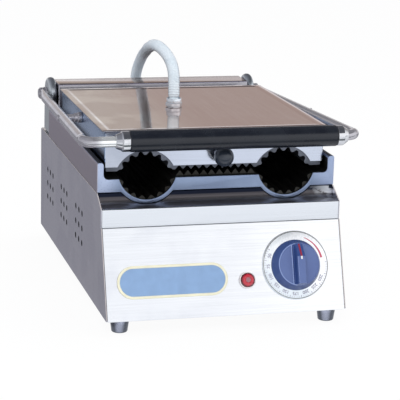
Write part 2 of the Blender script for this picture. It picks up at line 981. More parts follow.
@dataclass(frozen=True)
class Surface:
    """A plain finish: handling marks shift its colour and gloss, and a fine skin stands out by its depth.

    Without a shade, the marks are the colour times deeper. A limb colour darkens what is seen at a slant.
    """

    name: str
    colour: Triple = (0.78, 0.79, 0.81)
    shade: Triple | None = None
    roughness: float = 0.40
    rough_span: float = 0.05
    metallic: float = 0.0
    marks: Pair = (80.0, 0.40)
    deeper: float = 0.9
    coat: float = 0.0
    scale: float = 2500.0
    depth: float = 0.0
    limb: Triple | None = None
    limb_span: Pair = (0.50, 0.92)
    fades: tuple[Fade, ...] = ()

    def make(self) -> Material:
        """Builds the material.

        Returns:
            The material.
        """
        paint = Paint(self.name, self.colour, self.metallic, self.roughness)
        scale, sharpness = self.marks
        mask = paint.group("handling_marks", Scale=scale, Sharpness=sharpness).outputs["Mask"]
        shade = self.shade or tuple(self.deeper * part for part in self.colour)
        tone = paint.faded(paint.mixed(mask, self.colour, shade), self.fades)
        if self.limb:
            slant = paint.node("ShaderNodeLayerWeight").outputs["Facing"]
            tone = paint.mixed(paint.ramp(slant, *self.limb_span), tone, self.limb)
        paint.colour(tone)
        paint.roughness(paint.ramp(mask, 0.0, 1.0, self.roughness, self.roughness + self.rough_span))
        if self.depth > 0:
            paint.bump(paint.group("cast_skin", Scale=self.scale).outputs["Height"], self.depth)
        paint.shader.inputs["Coat Weight"].default_value = self.coat
        return paint.material


@dataclass(frozen=True)
class Plating(Surface):
    """Bright plated or turned metal, with faint handling marks in its gloss."""

    shade: Triple = (0.70, 0.71, 0.74)
    roughness: float = 0.10
    rough_span: float = 0.06
    metallic: float = 1.0
    marks: Pair = (60.0, 0.12)


@dataclass(frozen=True)
class Moulded(Surface):
    """Moulded plastic: a fine spark texture and slightly uneven gloss."""

    rough_span: float = 0.08
    marks: Pair = (35.0, 0.25)
    depth: float = 0.00003


@dataclass(frozen=True)
class Printed(Surface):
    """Screen print or enamel: a near-flat colour with a little unevenness."""


@dataclass(frozen=True)
class LampLens(Surface):
    """Clear red plastic, lit a little from within."""

    roughness: float = 0.12
    rough_span: float = 0.0
    marks: Pair = (300.0, 0.40)
    deeper: float = 1.3
    coat: float = 0.6


def face_places(obj: Piece) -> tuple[Array, Array]:
    """The middle of each face in the maker's frame, and its normal.

    Args:
        obj: the piece.

    Returns:
        Two arrays of faces x 3.
    """
    count = len(obj.data.polygons)
    middles, normals = np.zeros(count * 3, np.float32), np.zeros(count * 3, np.float32)
    obj.data.polygons.foreach_get("center", middles)
    obj.data.polygons.foreach_get("normal", normals)
    return middles.reshape(-1, 3) - np.array(MAKER_SHIFT), normals.reshape(-1, 3)


class Finishes:
    """Every material of the grill, made once and handed out by name."""

    def __init__(self) -> None:
        """Builds the materials."""
        makers = [
            SheetSteel("side_steel", (0.73, 0.72, 0.79), (0.67, 0.66, 0.74), grain=Grain.ALONG_Y),
            SheetSteel(
                "front_steel", (0.84, 0.86, 0.89), (0.80, 0.82, 0.86),
                fades=(Fade("X", -0.10, 0.12, (0.96, 0.97, 0.98)),)
            ),
            LedgeSteel(),
            SheetSteel(
                "lid_steel", (0.98, 0.94, 0.87), (0.76, 0.68, 0.62), roughness=0.05, rough_span=0.04,
                grain=Grain.ALONG_Y, fades=(Fade("X", -0.11, 0.00, (0.56, 0.39, 0.35)),)
            ),
            SheetSteel(
                "skirt_steel", (0.56, 0.60, 0.69), (0.52, 0.56, 0.65), roughness=0.14,
                fades=(
                    Fade("X", -0.11, -0.01, (0.68, 0.73, 0.84)),
                    Fade("X", -0.1280, -0.1292, (0.55, 0.72, 0.98))
                )
            ),
            SheetSteel(
                "skirt_side", (0.55, 0.72, 0.98), (0.52, 0.68, 0.92), roughness=0.20,
                fades=(Fade("Z", 0.1990, 0.1860, (0.030, 0.034, 0.045)),)
            ),
            SheetSteel(
                "cover_top_steel", (0.69, 0.58, 0.51), (0.60, 0.50, 0.43), roughness=0.08,
                fades=(Fade("X", -0.11, 0.00, (0.30, 0.16, 0.105)),)
            ),
            SheetSteel("cover_steel", (0.42, 0.41, 0.44), (0.37, 0.36, 0.39), roughness=0.16),
            SheetSteel("fold_steel", (0.42, 0.40, 0.48), (0.36, 0.34, 0.42), roughness=0.30),
            SheetSteel("rim_steel", (0.42, 0.41, 0.45), (0.36, 0.35, 0.39), roughness=0.20),
            SheetSteel("inner_steel", roughness=0.30),
            CastMetal(
                "cast_outside", (0.37, 0.46, 0.64), (0.32, 0.40, 0.58), depth=0.00006,
                fades=(
                    Fade("X", -0.108, -0.134, (0.62, 0.71, 0.92)),
                    Fade("X", 0.105, 0.134, (0.46, 0.55, 0.76)),
                    Fade("X", -0.1385, -0.1397, (0.54, 0.49, 0.54))
                )
            ),
            CastMetal("cast_edge", (0.15, 0.145, 0.155), (0.11, 0.105, 0.12), roughness=0.45),
            CastMetal("cast_upper", (0.27, 0.29, 0.34), (0.18, 0.195, 0.23), roughness=0.5),
            CastMetal("cast_ribs", (0.075, 0.075, 0.07), (0.04, 0.037, 0.033), roughness=0.5),
            CastMetal(
                "pillar_cast", (0.66, 0.70, 0.74), (0.54, 0.58, 0.62), roughness=0.30, scale=1400.0,
                depth=0.00004,
                fades=(
                    Fade("Z", 0.206, 0.196, (0.10, 0.10, 0.11)),
                    Fade("X", -0.1350, -0.1385, (0.78, 0.83, 0.84))
                )
            ),
            Printed("vent_edge", (0.02, 0.02, 0.022), roughness=0.6),
            Plating("bright_plating"),
            Plating(
                "hose_steel", (0.84, 0.92, 0.97), (0.78, 0.87, 0.93), roughness=0.30, metallic=0.30,
                limb=(0.34, 0.36, 0.43)
            ),
            Plating("fitting_steel", (0.80, 0.85, 0.90), (0.72, 0.77, 0.82), roughness=0.16, metallic=0.75),
            Plating("arm_steel", (0.52, 0.51, 0.54), (0.46, 0.45, 0.49), roughness=0.08, metallic=0.74),
            Plating(
                "bar_steel", (0.52, 0.51, 0.54), (0.46, 0.45, 0.49), roughness=0.08, metallic=0.74,
                fades=(
                    Fade("X", -0.149, -0.136, (0.98, 1.0, 1.0)), Fade("X", 0.136, 0.149, (0.52, 0.51, 0.54))
                )
            ),
            Plating("pin_steel", (0.62, 0.60, 0.64), (0.54, 0.52, 0.56), roughness=0.30, metallic=0.8),
            Plating("brass", (0.72, 0.54, 0.25), (0.62, 0.45, 0.20), roughness=0.25),
            Plating("spring_wire", (0.45, 0.46, 0.50), (0.36, 0.37, 0.40), roughness=0.25),
            Plating("heater_sheath", (0.24, 0.23, 0.23), (0.16, 0.15, 0.15), roughness=0.45),
            Moulded("grip_black", (0.008, 0.010, 0.016), (0.012, 0.015, 0.022), roughness=0.22),
            Moulded("ball_black", (0.020, 0.026, 0.038), (0.026, 0.033, 0.047), roughness=0.14, coat=0.25),
            Moulded("knob_blue", (0.085, 0.130, 0.31), (0.10, 0.150, 0.34), roughness=0.30, coat=0.15),
            Moulded(
                "knob_side_blue", (0.028, 0.062, 0.21), (0.036, 0.075, 0.24), roughness=0.30, coat=0.15
            ),
            Moulded("knob_edge_blue", (0.28, 0.36, 0.62), (0.24, 0.32, 0.58), roughness=0.30, coat=0.15),
            Plating(
                "foot_rubber", (0.50, 0.53, 0.66), (0.44, 0.47, 0.58), roughness=0.22, metallic=0.6,
                limb=(0.10, 0.11, 0.135), limb_span=(0.03, 0.30)
            ),
            Moulded("gland_black", (0.02, 0.02, 0.022), (0.03, 0.03, 0.034), roughness=0.45),
            Moulded("ceramic_white", (0.76, 0.75, 0.70), (0.68, 0.67, 0.62), roughness=0.5),
            Moulded(
                "wool_pad", (0.62, 0.58, 0.48), (0.52, 0.48, 0.38), roughness=0.95, scale=600.0,
                depth=0.0006
            ),
            SheetSteel(
                "dial_silver", (0.97, 0.98, 1.0), (0.78, 0.84, 0.89), roughness=0.14, grain=Grain.ALONG_Z
            ),
            Printed("dial_line", (0.10, 0.10, 0.09)),
            Printed("panel_edge", (0.50, 0.46, 0.46)),
            Printed("dial_grey", (0.34, 0.33, 0.42)),
            Printed("dial_red", (0.66, 0.13, 0.19)),
            Printed("pointer_red", (0.30, 0.015, 0.04)),
            Printed("pointer_white", (0.85, 0.85, 0.85)),
            Printed("badge_blue", (0.23, 0.37, 0.60), roughness=0.18, coat=0.3),
            Printed("badge_cream", (0.85, 0.82, 0.62), roughness=0.22, coat=0.3),
            Printed("lamp_frame_pale", (0.84, 0.80, 0.80), roughness=0.25, coat=0.4),
            LampLens("lamp_lens_red", (0.42, 0.018, 0.035)),
            LampLens("lamp_edge_red", (0.12, 0.008, 0.014)),
            LampLens("lamp_middle_red", (0.27, 0.10, 0.12))
        ]
        self.made = {maker.name: maker.make() for maker in makers}

    def __getitem__(self, name: str) -> Material:
        """The material of that name."""
        return self.made[name]


# The grill


@dataclass
class Workshop:
    """What every sub-assembly shares: the finishes, and the list of pieces made."""

    finishes: Finishes = field(default_factory=Finishes)
    pieces: list[Piece] = field(default_factory=list)
    slots: dict[str, str] = field(
        default_factory=lambda: {
            part["node"]: part["material_slot"] for part in frame["record"]["subparts"]
        }
    )

    def add(
        self, obj: Piece, body: str, finish: str, stands_for: Sequence[str] = (), slot: str | None = None
    ) -> Piece:
        """Dresses a new piece, puts it on its body and hides the nodes that it stands for.

        Args:
            obj: the piece.
            body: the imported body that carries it.
            finish: the material's name.
            stands_for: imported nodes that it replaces.
            slot: the record's material slot; by default that of the first node that it stands for.

        Returns:
            The piece.
        """
        obj.data.materials.clear()
        obj.data.materials.append(self.finishes[finish])
        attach(obj, body)
        if stands_for:
            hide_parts(*stands_for)
        self.pieces.append(obj)
        LOG.info("%s rides on %s: %d faces", obj.name, body, len(obj.data.polygons))
        return obj

    def paint_faces(self, obj: Piece, finish: str, chosen: Array) -> None:
        """Gives chosen faces of a piece a further material.

        Args:
            obj: the piece.
            finish: the material's name.
            chosen: one truth value for each face.
        """
        mesh = obj.data
        index = np.zeros(len(mesh.polygons), np.int32)
        mesh.polygons.foreach_get("material_index", index)
        index[chosen] = len(mesh.materials)
        mesh.materials.append(self.finishes[finish])
        mesh.polygons.foreach_set("material_index", index)
        mesh.update()

    def dress(self, finish: str, *nodes: str) -> None:
        """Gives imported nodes, whose shapes stay, a better material.

        Args:
            finish: the material's name.
            nodes: the nodes.
        """
        for node in nodes:
            mesh = frame["nodes"][node].data
            mesh.materials.clear()
            mesh.materials.append(self.finishes[finish])
            LOG.info("%s keeps its packed shape, in %s", node, finish)


@dataclass
class SubAssembly:
    """A part of the grill, which builds its pieces and hands them to the workshop."""

    shop: Workshop


@dataclass
class ControlPanelPlane:
    """The slanted control panel's plane, with points given across it, up it and out of it."""

    bottom: Pair = (-0.0372, 0.016)
    top: Pair = (-0.0019, 0.1139)

    @property
    def up(self) -> Vector:
        """The direction up the panel."""
        return Vector((0, self.top[0] - self.bottom[0], self.top[1] - self.bottom[1])).normalized()

    @property
    def out(self) -> Vector:
        """The direction out of the panel."""
        return Vector((1, 0, 0)).cross(self.up)

    @property
    def length(self) -> float:
        """The panel's height along its slope."""
        return math.hypot(self.top[0] - self.bottom[0], self.top[1] - self.bottom[1])

    def place(self, across: float, up: float, out: float = 0.0) -> Matrix:
        """A place on the panel whose X is across it, Y up it and Z out of it."""
        at = Vector((across, self.bottom[0], self.bottom[1])) + self.up * up + self.out * out
        return looking(at, (1, 0, 0), self.up)


@dataclass
class Housing(SubAssembly):
    """The sheet housing: side panels with vents, control panel, folded deck, feet and back."""

    width: float = 0.280
    sheet: float = 0.0012
    fit: float = 0.0003
    back_y: float = 0.397
    foot_height: float = 0.016
    lip_top: float = 0.1352
    deck: float = 0.148
    riser_y: float = 0.0245
    cove: float = 0.0063
    fold: float = 0.0016
    rim: float = 0.0003
    lip_drop: float = 0.006
    opening: tuple[Pair, Pair] = ((-0.124, 0.0407), (0.124, 0.328))
    trough: Pair = (0.0393, 0.1728)
    trough_ends: Pair = (0.0185, 0.3385)
    foot_x: float = 0.1216
    foot_rows: tuple[tuple[str, float], ...] = (("front", -0.0206), ("rear", 0.370))
    dial_hole: float = 0.005
    lamp_hole: float = 0.0061
    screw_radius: float = 0.0034
    screw_turn: float = 0.6
    screws: tuple[Pair, ...] = (
        (-0.128, 0.030), (0.128, 0.030), (-0.128, 0.136), (0.128, 0.136), (0.0, 0.030)
    )
    vent_radius: float = 0.0037
    vent_rows: tuple[float, ...] = (0.067, 0.085, 0.103)
    vent_columns: tuple[float, ...] = (
        0.1092, 0.1285, 0.1478, 0.2072, 0.2265, 0.2458, 0.3052, 0.3245, 0.3438
    )
    panel: ControlPanelPlane = field(default_factory=ControlPanelPlane)

    @property
    def half_inside(self) -> float:
        """Half the width between the side panels, less the fit."""
        return self.width / 2 - self.sheet - self.fit

    def side_loop(self) -> Array:
        """The side panel's outline in (Y, Z), with its corners drawn as arcs.

        Returns:
            Array of (Y, Z).
        """
        bottom, top = self.panel.bottom, self.panel.top
        corners = [
            (*bottom, 0.0015), (self.back_y, self.foot_height, 0.0015), (self.back_y, self.deck, 0.002),
            (self.riser_y, self.deck, 0.002), (0.0, self.lip_top, 0.0015), (0.0, top[1], 0.0), (*top, 0.0)
        ]
        return filleted(corners, 4)

    def sides(self) -> None:
        """Both side panels, each with three groups of nine round vents."""
        vents = np.array([(y, z) for y in self.vent_columns for z in self.vent_rows])
        loops = [self.side_loop(), *(circle(self.vent_radius, 20) + vent for vent in vents)]
        for name, side in SIDES.items():
            middle = side * (self.width / 2 - self.sheet / 2)
            plate = pierced_plate(f"side_{name}", loops, self.sheet, facing_x(middle), self.rim)
            self.shop.add(plate, "base", "side_steel", [f"side_panel_{name}"])
            middles, normals = face_places(plate)
            away = np.linalg.norm(middles[:, None, 1:] - vents[None], axis=2).min(axis=1)
            at_vent = away < self.vent_radius + self.rim
            self.shop.paint_faces(plate, "vent_edge", at_vent & (np.abs(normals[:, 0]) < 0.9))
            self.shop.paint_faces(plate, "panel_edge", ~at_vent & (normals[:, 2] > 0.3))

    def front(self) -> None:
        """The control panel's sheet, with holes behind the dial and the lamp."""
        half, top = self.half_inside, self.panel.length
        loop = filleted([(-half, 0, 0.001), (half, 0, 0.001), (half, top, 0.0), (-half, top, 0.0)])
        holes = [
            circle(radius, 24) + np.array(at)
            for radius, at in ((self.dial_hole, DIAL_AT), (self.lamp_hole, LAMP_AT))
        ]
        place = self.panel.place(0, 0, -self.sheet / 2)
        panel = pierced_plate("control_panel", [loop, *holes], self.sheet, place, self.rim)
        self.shop.add(panel, "base", "front_steel", ["front_panel"])

    def folded_deck(self) -> None:
        """Lip, ledge, riser and deck: one sheet whose section has round bends, run along X."""
        back, lip = self.back_y - self.sheet - self.fit, self.panel.top[1] - self.lip_drop
        outside = bent([
            (0.0, lip, 0.0), (0.0, self.lip_top, self.fold), (self.riser_y, self.lip_top, self.cove),
            (self.riser_y, self.deck, self.fold), (back, self.deck, 0.0)
        ], 8)
        riser, ledge, deck = self.riser_y + self.sheet, self.lip_top - self.sheet, self.deck - self.sheet
        sharp = self.fold - self.sheet
        inside = bent([
            (back, deck, 0.0), (riser, deck, sharp), (riser, ledge, self.cove + self.sheet),
            (self.sheet, ledge, sharp), (self.sheet, lip, 0.0)
        ], 8)
        loop = np.vstack([outside, inside])
        sheet = slab("folded_deck", loop, 2 * self.half_inside, facing_x(), look=Look.FOLDED)
        (radius, height), (start, end) = self.trough, self.trough_ends
        place = facing_y((start + end) / 2)
        cutters = []
        for side in SIDES.values():
            loop = circle(radius, 96) + np.array([side * CHANNEL_X, height])
            cutters.append(slab("trough_cutter", loop, end - start, place))
        cutters.append(slab("opening_cutter", rectangle(*self.opening, 0.004), 0.01, facing_z(self.deck)))
        self.shop.add(carved(sheet, cutters, Look.FOLDED), "base", "lip_steel", ["top_deck"])

    def feet(self) -> None:
        """Tapered feet with a rounded sole and a shoulder under the bottom plate."""
        profile = bent([
            (0, 0.0157, 0), (0.0108, 0.0157, 0.0008), (0.0104, 0.0105, 0.002), (0.0090, 0.0, 0.0016),
            (0, 0, 0)
        ])
        for row, y in self.foot_rows:
            for name, side in SIDES.items():
                foot = turned(f"{row}_{name}_foot", profile, Matrix.Translation((side * self.foot_x, y, 0)))
                self.shop.add(foot, "base", "foot_rubber", [f"foot_{row}_{name}"])

    def back_screws(self) -> None:
        """Domed screws round the back panel, each with a slot turned its own way."""
        dome = arc((0, 0), self.screw_radius, 90, 0, 6) * np.array([1, 0.55])
        profile = np.vstack([dome, [(0, -0.0008)]])
        slot = rectangle((-0.004, -0.0004), (0.004, 0.0004))
        for index, (x, z) in enumerate(self.screws):
            place = looking((x, self.back_y + 0.0002, z), (-1, 0, 0), (0, 0, 1))
            screw = turned(f"back_screw_{index}", profile, place, 24)
            turn = Matrix.Rotation(self.screw_turn * index, 4, "Z")
            cutter = slab("slot_cutter", slot, 0.0012, place @ turn @ Matrix.Translation((0, 0, 0.0018)))
            self.shop.add(carved(screw, [cutter]), "base", "bright_plating", slot="bright_steel")

    def build(self) -> None:
        """Makes the housing and dresses its plain sheets."""
        self.sides()
        self.front()
        self.folded_deck()
        self.feet()
        self.back_screws()
        self.shop.dress("front_steel", "back_panel")
        self.shop.dress("inner_steel", "bottom_plate", "heat_shield")
        self.shop.dress("ceramic_white", "terminal_block", "thermostat_body")
        self.shop.dress("gland_black", "cable_gland")
        self.shop.dress("heater_sheath", "thermostat_bulb")


@dataclass
class Plates(SubAssembly):
    """The two ribbed castings, drawn as sections that change a little along Y."""

    half_width: float = 0.140
    front: float = 0.0247
    back: float = 0.338
    floor: float = 0.1634
    bottom: float = 0.1483
    wall_top: float = 0.1827
    trough_x: float = CHANNEL_X
    trough_z: float = 0.1728
    trough_outer: float = 0.0387
    trough_shell: float = 0.0385
    root: float = 0.0340
    ridge: float = 0.0303
    ridges: int = 8
    rib_pitch: float = 0.00935
    rib_count: int = 10
    rib_peak: float = 0.1695
    arch_z: float = 0.157
    arch_root: float = 0.0345
    arch_ridge: float = 0.0305
    arch_outer: float = 0.0388
    arch_ridges: int = 7
    upper_bottom: float = 0.1695
    upper_valley: float = 0.1746
    upper_top: float = 0.182
    upper_half: float = 0.1273
    upper_front: float = 0.0373
    upper_back: float = 0.2983
    wall: float = 0.008

    def fluted(
        self, centre: Pair, root: float, ridge: float, start: float, end: float, ridges: int
    ) -> Array:
        """An arc with flutes: a cosine wave between the root and the ridge radius, cut flat at its tops.

        Args:
            centre: the arc's centre.
            root: the radius between the ridges.
            ridge: the radius at their tops.
            start: the first angle, in degrees.
            end: the last angle.
            ridges: how many.

        Returns:
            Array of (across, up).
        """
        share = np.linspace(0, 1, ridges * 12 + 1)
        wave = np.clip(0.5 - 1.25 * 0.5 * np.cos(2 * math.pi * ridges * share), 0, 1)
        radius = root - (root - ridge) * wave
        angle = np.radians(start + (end - start) * share)
        return np.column_stack([centre[0] + radius * np.cos(angle), centre[1] + radius * np.sin(angle)])

    def rib_line(self, low: float, high: float) -> Array:
        """The middle ribs as a rounded zigzag that starts and ends low.

        Args:
            low: the height of the valleys.
            high: the height of the peaks.

        Returns:
            Array of (across, up).
        """
        step = self.rib_pitch / 2
        corners = []
        for index in range(2 * self.rib_count + 1):
            height, radius = (high, 0.0007) if index % 2 else (low, 0.0004)
            corners.append(((index - self.rib_count) * step, height, radius))
        return bent(corners, 3)

    def lower_loop(self, flutes: float, ribs: float) -> Array:
        """The lower casting's section, with its flutes and ribs grown from 0 to 1.

        Args:
            flutes: how far the flutes are grown.
            ribs: how far the middle ribs are grown.

        Returns:
            Array of (across, up).
        """
        outer = math.degrees(math.asin((self.trough_z - self.bottom) / self.trough_outer))
        inner = math.degrees(math.asin((self.trough_z - self.floor) / self.root))
        centre, wall_x = (self.trough_x, self.trough_z), self.half_width - self.wall
        under = arc(centre, self.trough_outer, 180 + outer, 360 - outer, 40)
        wall = bent([
            (self.trough_x + 0.032, self.bottom, 0), (self.half_width, self.bottom, 0.0015),
            (self.half_width, self.wall_top, 0.0025), (wall_x, self.wall_top, 0.0035),
            (wall_x, self.floor, 0.0050), (self.trough_x + 0.0335, self.floor, 0)
        ], 6)[1:-1]
        ridge = self.root - flutes * (self.root - self.ridge)
        trough = self.fluted(centre, self.root, ridge, -inner, inner - 180, self.ridges)
        middle = self.rib_line(self.floor, self.rib_peak)[::-1]
        middle[:, 1] = self.floor + ribs * (middle[:, 1] - self.floor)
        right = np.vstack([under, wall, trough])
        return np.vstack([right, middle, right[::-1] * np.array([-1, 1])])

    def lower(self) -> None:
        """The lower casting: its section run back from a plain front rim, and raised to a wall behind."""
        plain, ringed, ribbed = self.lower_loop(0, 0), self.lower_loop(1, 0), self.lower_loop(1, 1)
        raised, inner_x = ribbed.copy(), self.half_width - self.wall + 0.0002
        x, z = np.abs(ribbed[:, 0]), ribbed[:, 1]
        shell = self.trough_z - np.sqrt(np.maximum(0, self.trough_shell**2 - (x - self.trough_x) ** 2))
        raised[(x < inner_x) & (z > self.bottom + 0.0005) & (z > shell + 0.002), 1] = self.wall_top
        rows = [(offset_loop(plain, inset), self.front + drop) for inset, drop in quarter_round(0.0007, 3)]
        ring_end, rim_end, wall_front = self.front + 0.0028, self.front + 0.0085, self.back - self.wall
        rows += [
            (plain, ring_end), (ringed, ring_end + 0.0003), (ringed, rim_end), (ribbed, rim_end + 0.0004),
            (ribbed, wall_front), (raised, wall_front + 0.0006), (raised, self.back - 0.0005),
            (raised, self.back)
        ]
        plate = self.casting("lower_plate", rows)
        self.shop.add(plate, "base", "cast_outside", ["lower_cast_plate"])
        middles, _ = face_places(plate)
        x, y, z = np.abs(middles[:, 0]), middles[:, 1], middles[:, 2]
        shell = self.trough_outer - 0.0012
        reach = np.hypot(x - self.trough_x, z - self.trough_z)
        behind = y > self.front + 0.0012
        hollow = (reach < shell) | ((z > self.floor - 0.004) & (reach > shell))
        inside = behind & (x < inner_x) & hollow & (z < self.wall_top - 0.0002)
        self.shop.paint_faces(plate, "cast_ribs", inside)
        self.shop.paint_faces(plate, "cast_edge", behind & (z > self.wall_top - 0.0003))

    def upper(self) -> None:
        """The upper casting: arches with flutes, ribs between them, and a flat slab above."""
        root = math.degrees(math.asin((self.upper_bottom - self.arch_z) / self.arch_root))
        top = math.degrees(math.asin((self.upper_top - self.arch_z) / self.arch_outer))
        centre = (self.trough_x, self.arch_z)
        arch = self.fluted(centre, self.arch_root, self.arch_ridge, 180 - root, root, self.arch_ridges)
        end = bent([
            (self.trough_x + 0.0325, self.upper_bottom, 0), (self.upper_half, self.upper_bottom, 0.0012),
            (self.upper_half, self.upper_top, 0.0015), (self.trough_x + 0.030, self.upper_top, 0)
        ])[1:-1]
        right = np.vstack([arch, end, arc(centre, self.arch_outer, top, 180 - top, 40)])
        ribs = self.rib_line(self.upper_bottom, self.upper_valley)
        loop = np.vstack([ribs, right, right[::-1] * np.array([-1, 1])])
        rim = quarter_round(0.0002, 3)
        rows = [(offset_loop(loop, inset), self.upper_front + drop) for inset, drop in rim]
        rows += [(offset_loop(loop, inset), self.upper_back - drop) for inset, drop in rim[::-1]]
        plate = self.casting("upper_plate_casting", rows)
        self.shop.add(plate, "upper_plate", "cast_upper", ["upper_cast_plate"])
        _, normals = face_places(plate)
        self.shop.paint_faces(plate, "cast_ribs", normals[:, 2] < -0.25)

    def casting(self, name: str, rows: Sequence[tuple[Array, float]]) -> Piece:
        """Joins sections, each at its own distance from the front."""
        return skin(name, np.stack([level(loop, y)[:, [0, 2, 1]] for loop, y in rows]), weld=1e-7)

    def build(self) -> None:
        """Makes both castings and dresses what heats them."""
        self.lower()
        self.upper()
        self.shop.dress("heater_sheath", "lower_heater", "upper_heater")
        self.shop.dress("inner_steel", "lower_heater_clamp", "upper_heater_clamp")
        self.shop.dress("wool_pad", "insulation_pad")


@dataclass
class Lid(SubAssembly):
    """The flat lid: a skirt with two arched notches, and a top sheet with a turned-down rim."""

    front: float = 0.0351
    back: float = 0.3005
    half_width: float = 0.1295
    bottom: float = 0.1748
    top: float = 0.217
    sheet: float = 0.0014
    overhang: float = 0.0028
    front_overhang: float = 0.0014
    fit: float = 0.0003
    arch_z: float = 0.157
    arch_radius: float = 0.03705
    arm_x: float = 0.15251
    hose_radius: float = 0.0088
    pin_radius: float = 0.0044
    lock_radius: float = 0.0034

    def plan(self, inset: float, radius: float) -> Array:
        """The lid's plan outline, set in by a distance, with round corners."""
        x = self.half_width - inset
        return rectangle((-x, self.front + inset), (x, self.back - inset), radius)

    def hose_hole(self) -> Piece:
        """What takes the hose's hole out of a sheet."""
        return slab("hose_cutter", circle(self.hose_radius, 48) + np.array(HOSE_AT), 0.01, facing_z(self.top))

    def skirt(self) -> None:
        """The skirt: an inverted tray of sheet, its rows walking down inside, out and up over the top."""
        roof = self.top - self.sheet - self.fit
        walk = [
            (self.sheet, roof - self.sheet, 0.0006), (self.sheet, self.bottom, 0.0006),
            (0.0, self.bottom, 0.0018), (0.0, roof - 0.0012, 0.0018), (0.0006, roof - 0.0002, 0.0016),
            (0.0014, roof, 0.0010)
        ]
        skirt = layered("skirt", [(self.plan(inset, radius), z) for inset, z, radius in walk], Look.FOLDED)
        cutters = []
        for side in SIDES.values():
            notch = circle(self.arch_radius, 128) + np.array([side * CHANNEL_X, self.arch_z])
            cutters.append(slab("notch_cutter", notch, 0.30, facing_y((self.front + self.back) / 2)))
            pin = circle(self.pin_radius, 24) + np.array(PLATE_PIN)
            cutters.append(slab("pin_cutter", pin, 0.01, facing_x(side * self.half_width)))
        lock = circle(self.lock_radius, 24) + np.array(LOCK)
        cutters += [slab("lock_cutter", lock, 0.01, facing_y(self.front)), self.hose_hole()]
        self.shop.add(carved(skirt, cutters, Look.FOLDED), "upper_plate", "skirt_steel", ["lid_skirt"])
        _, normals = face_places(skirt)
        self.shop.paint_faces(skirt, "skirt_side", np.abs(normals[:, 0]) > 0.9)

    def top_sheet(self) -> None:
        """The top sheet: plan loops from the underside round the rolled rim and in over a shallow step."""
        x = self.half_width + self.overhang
        front, back = self.front - self.front_overhang, self.back + self.front_overhang
        low, rim = self.top - self.sheet, 0.0006
        walk = [
            (0.0004, low), (0.0, low + 0.0003), (0.0, self.top - rim), (0.3 * rim, self.top - 0.3 * rim)
        ]
        step = (
            (rim, 0.0), (0.0072, 0.0), (0.0080, 0.00018), (0.0096, 0.00026), (0.0105, 0.00042),
            (0.0114, 0.00044)
        )
        walk += [(inset, self.top - drop) for inset, drop in step]
        layers = []
        for inset, height in walk:
            corners = (inset - x, front + inset), (x - inset, back - inset)
            layers.append((rectangle(*corners, max(0.0030 - inset, 0.0004)), height))
        sheet = carved(layered("lid_top", layers, Look.FOLDED), [self.hose_hole()], Look.FOLDED)
        self.shop.add(sheet, "upper_plate", "lid_steel", ["lid_top_sheet"])
        _, normals = face_places(sheet)
        self.shop.paint_faces(sheet, "rim_steel", normals[:, 2] < 0.90)

    def pivots(self) -> None:
        """The pins that carry the plate: head, shank, and a stepped collar at the flank."""
        arm, flank = self.arm_x, self.half_width
        profile = bent([
            (0, arm + 0.0070, 0), (0.0046, arm + 0.0070, 0.0004), (0.0046, arm + 0.0064, 0.0002),
            (0.0040, arm + 0.0064, 0), (0.0040, flank + 0.0093, 0), (0.0053, flank + 0.0093, 0.0004),
            (0.0053, flank + 0.0050, 0.0004), (0.0064, flank + 0.0050, 0.0006),
            (0.0064, flank + 0.0003, 0.0003), (0.0040, flank + 0.0003, 0), (0.0040, flank - 0.0050, 0),
            (0, flank - 0.0050, 0)
        ], 4)
        for name, side in SIDES.items():
            pin = turned(f"plate_pin_{name}", profile, looking((0, *PLATE_PIN), (0, side, 0), (0, 0, 1)))
            self.shop.add(pin, "upper_plate", "pin_steel", [f"pivot_pin_{name}"])
            self.shop.dress("inner_steel", f"pivot_bracket_{name}")

    def build(self) -> None:
        """Makes the lid."""
        self.skirt()
        self.top_sheet()
        self.pivots()


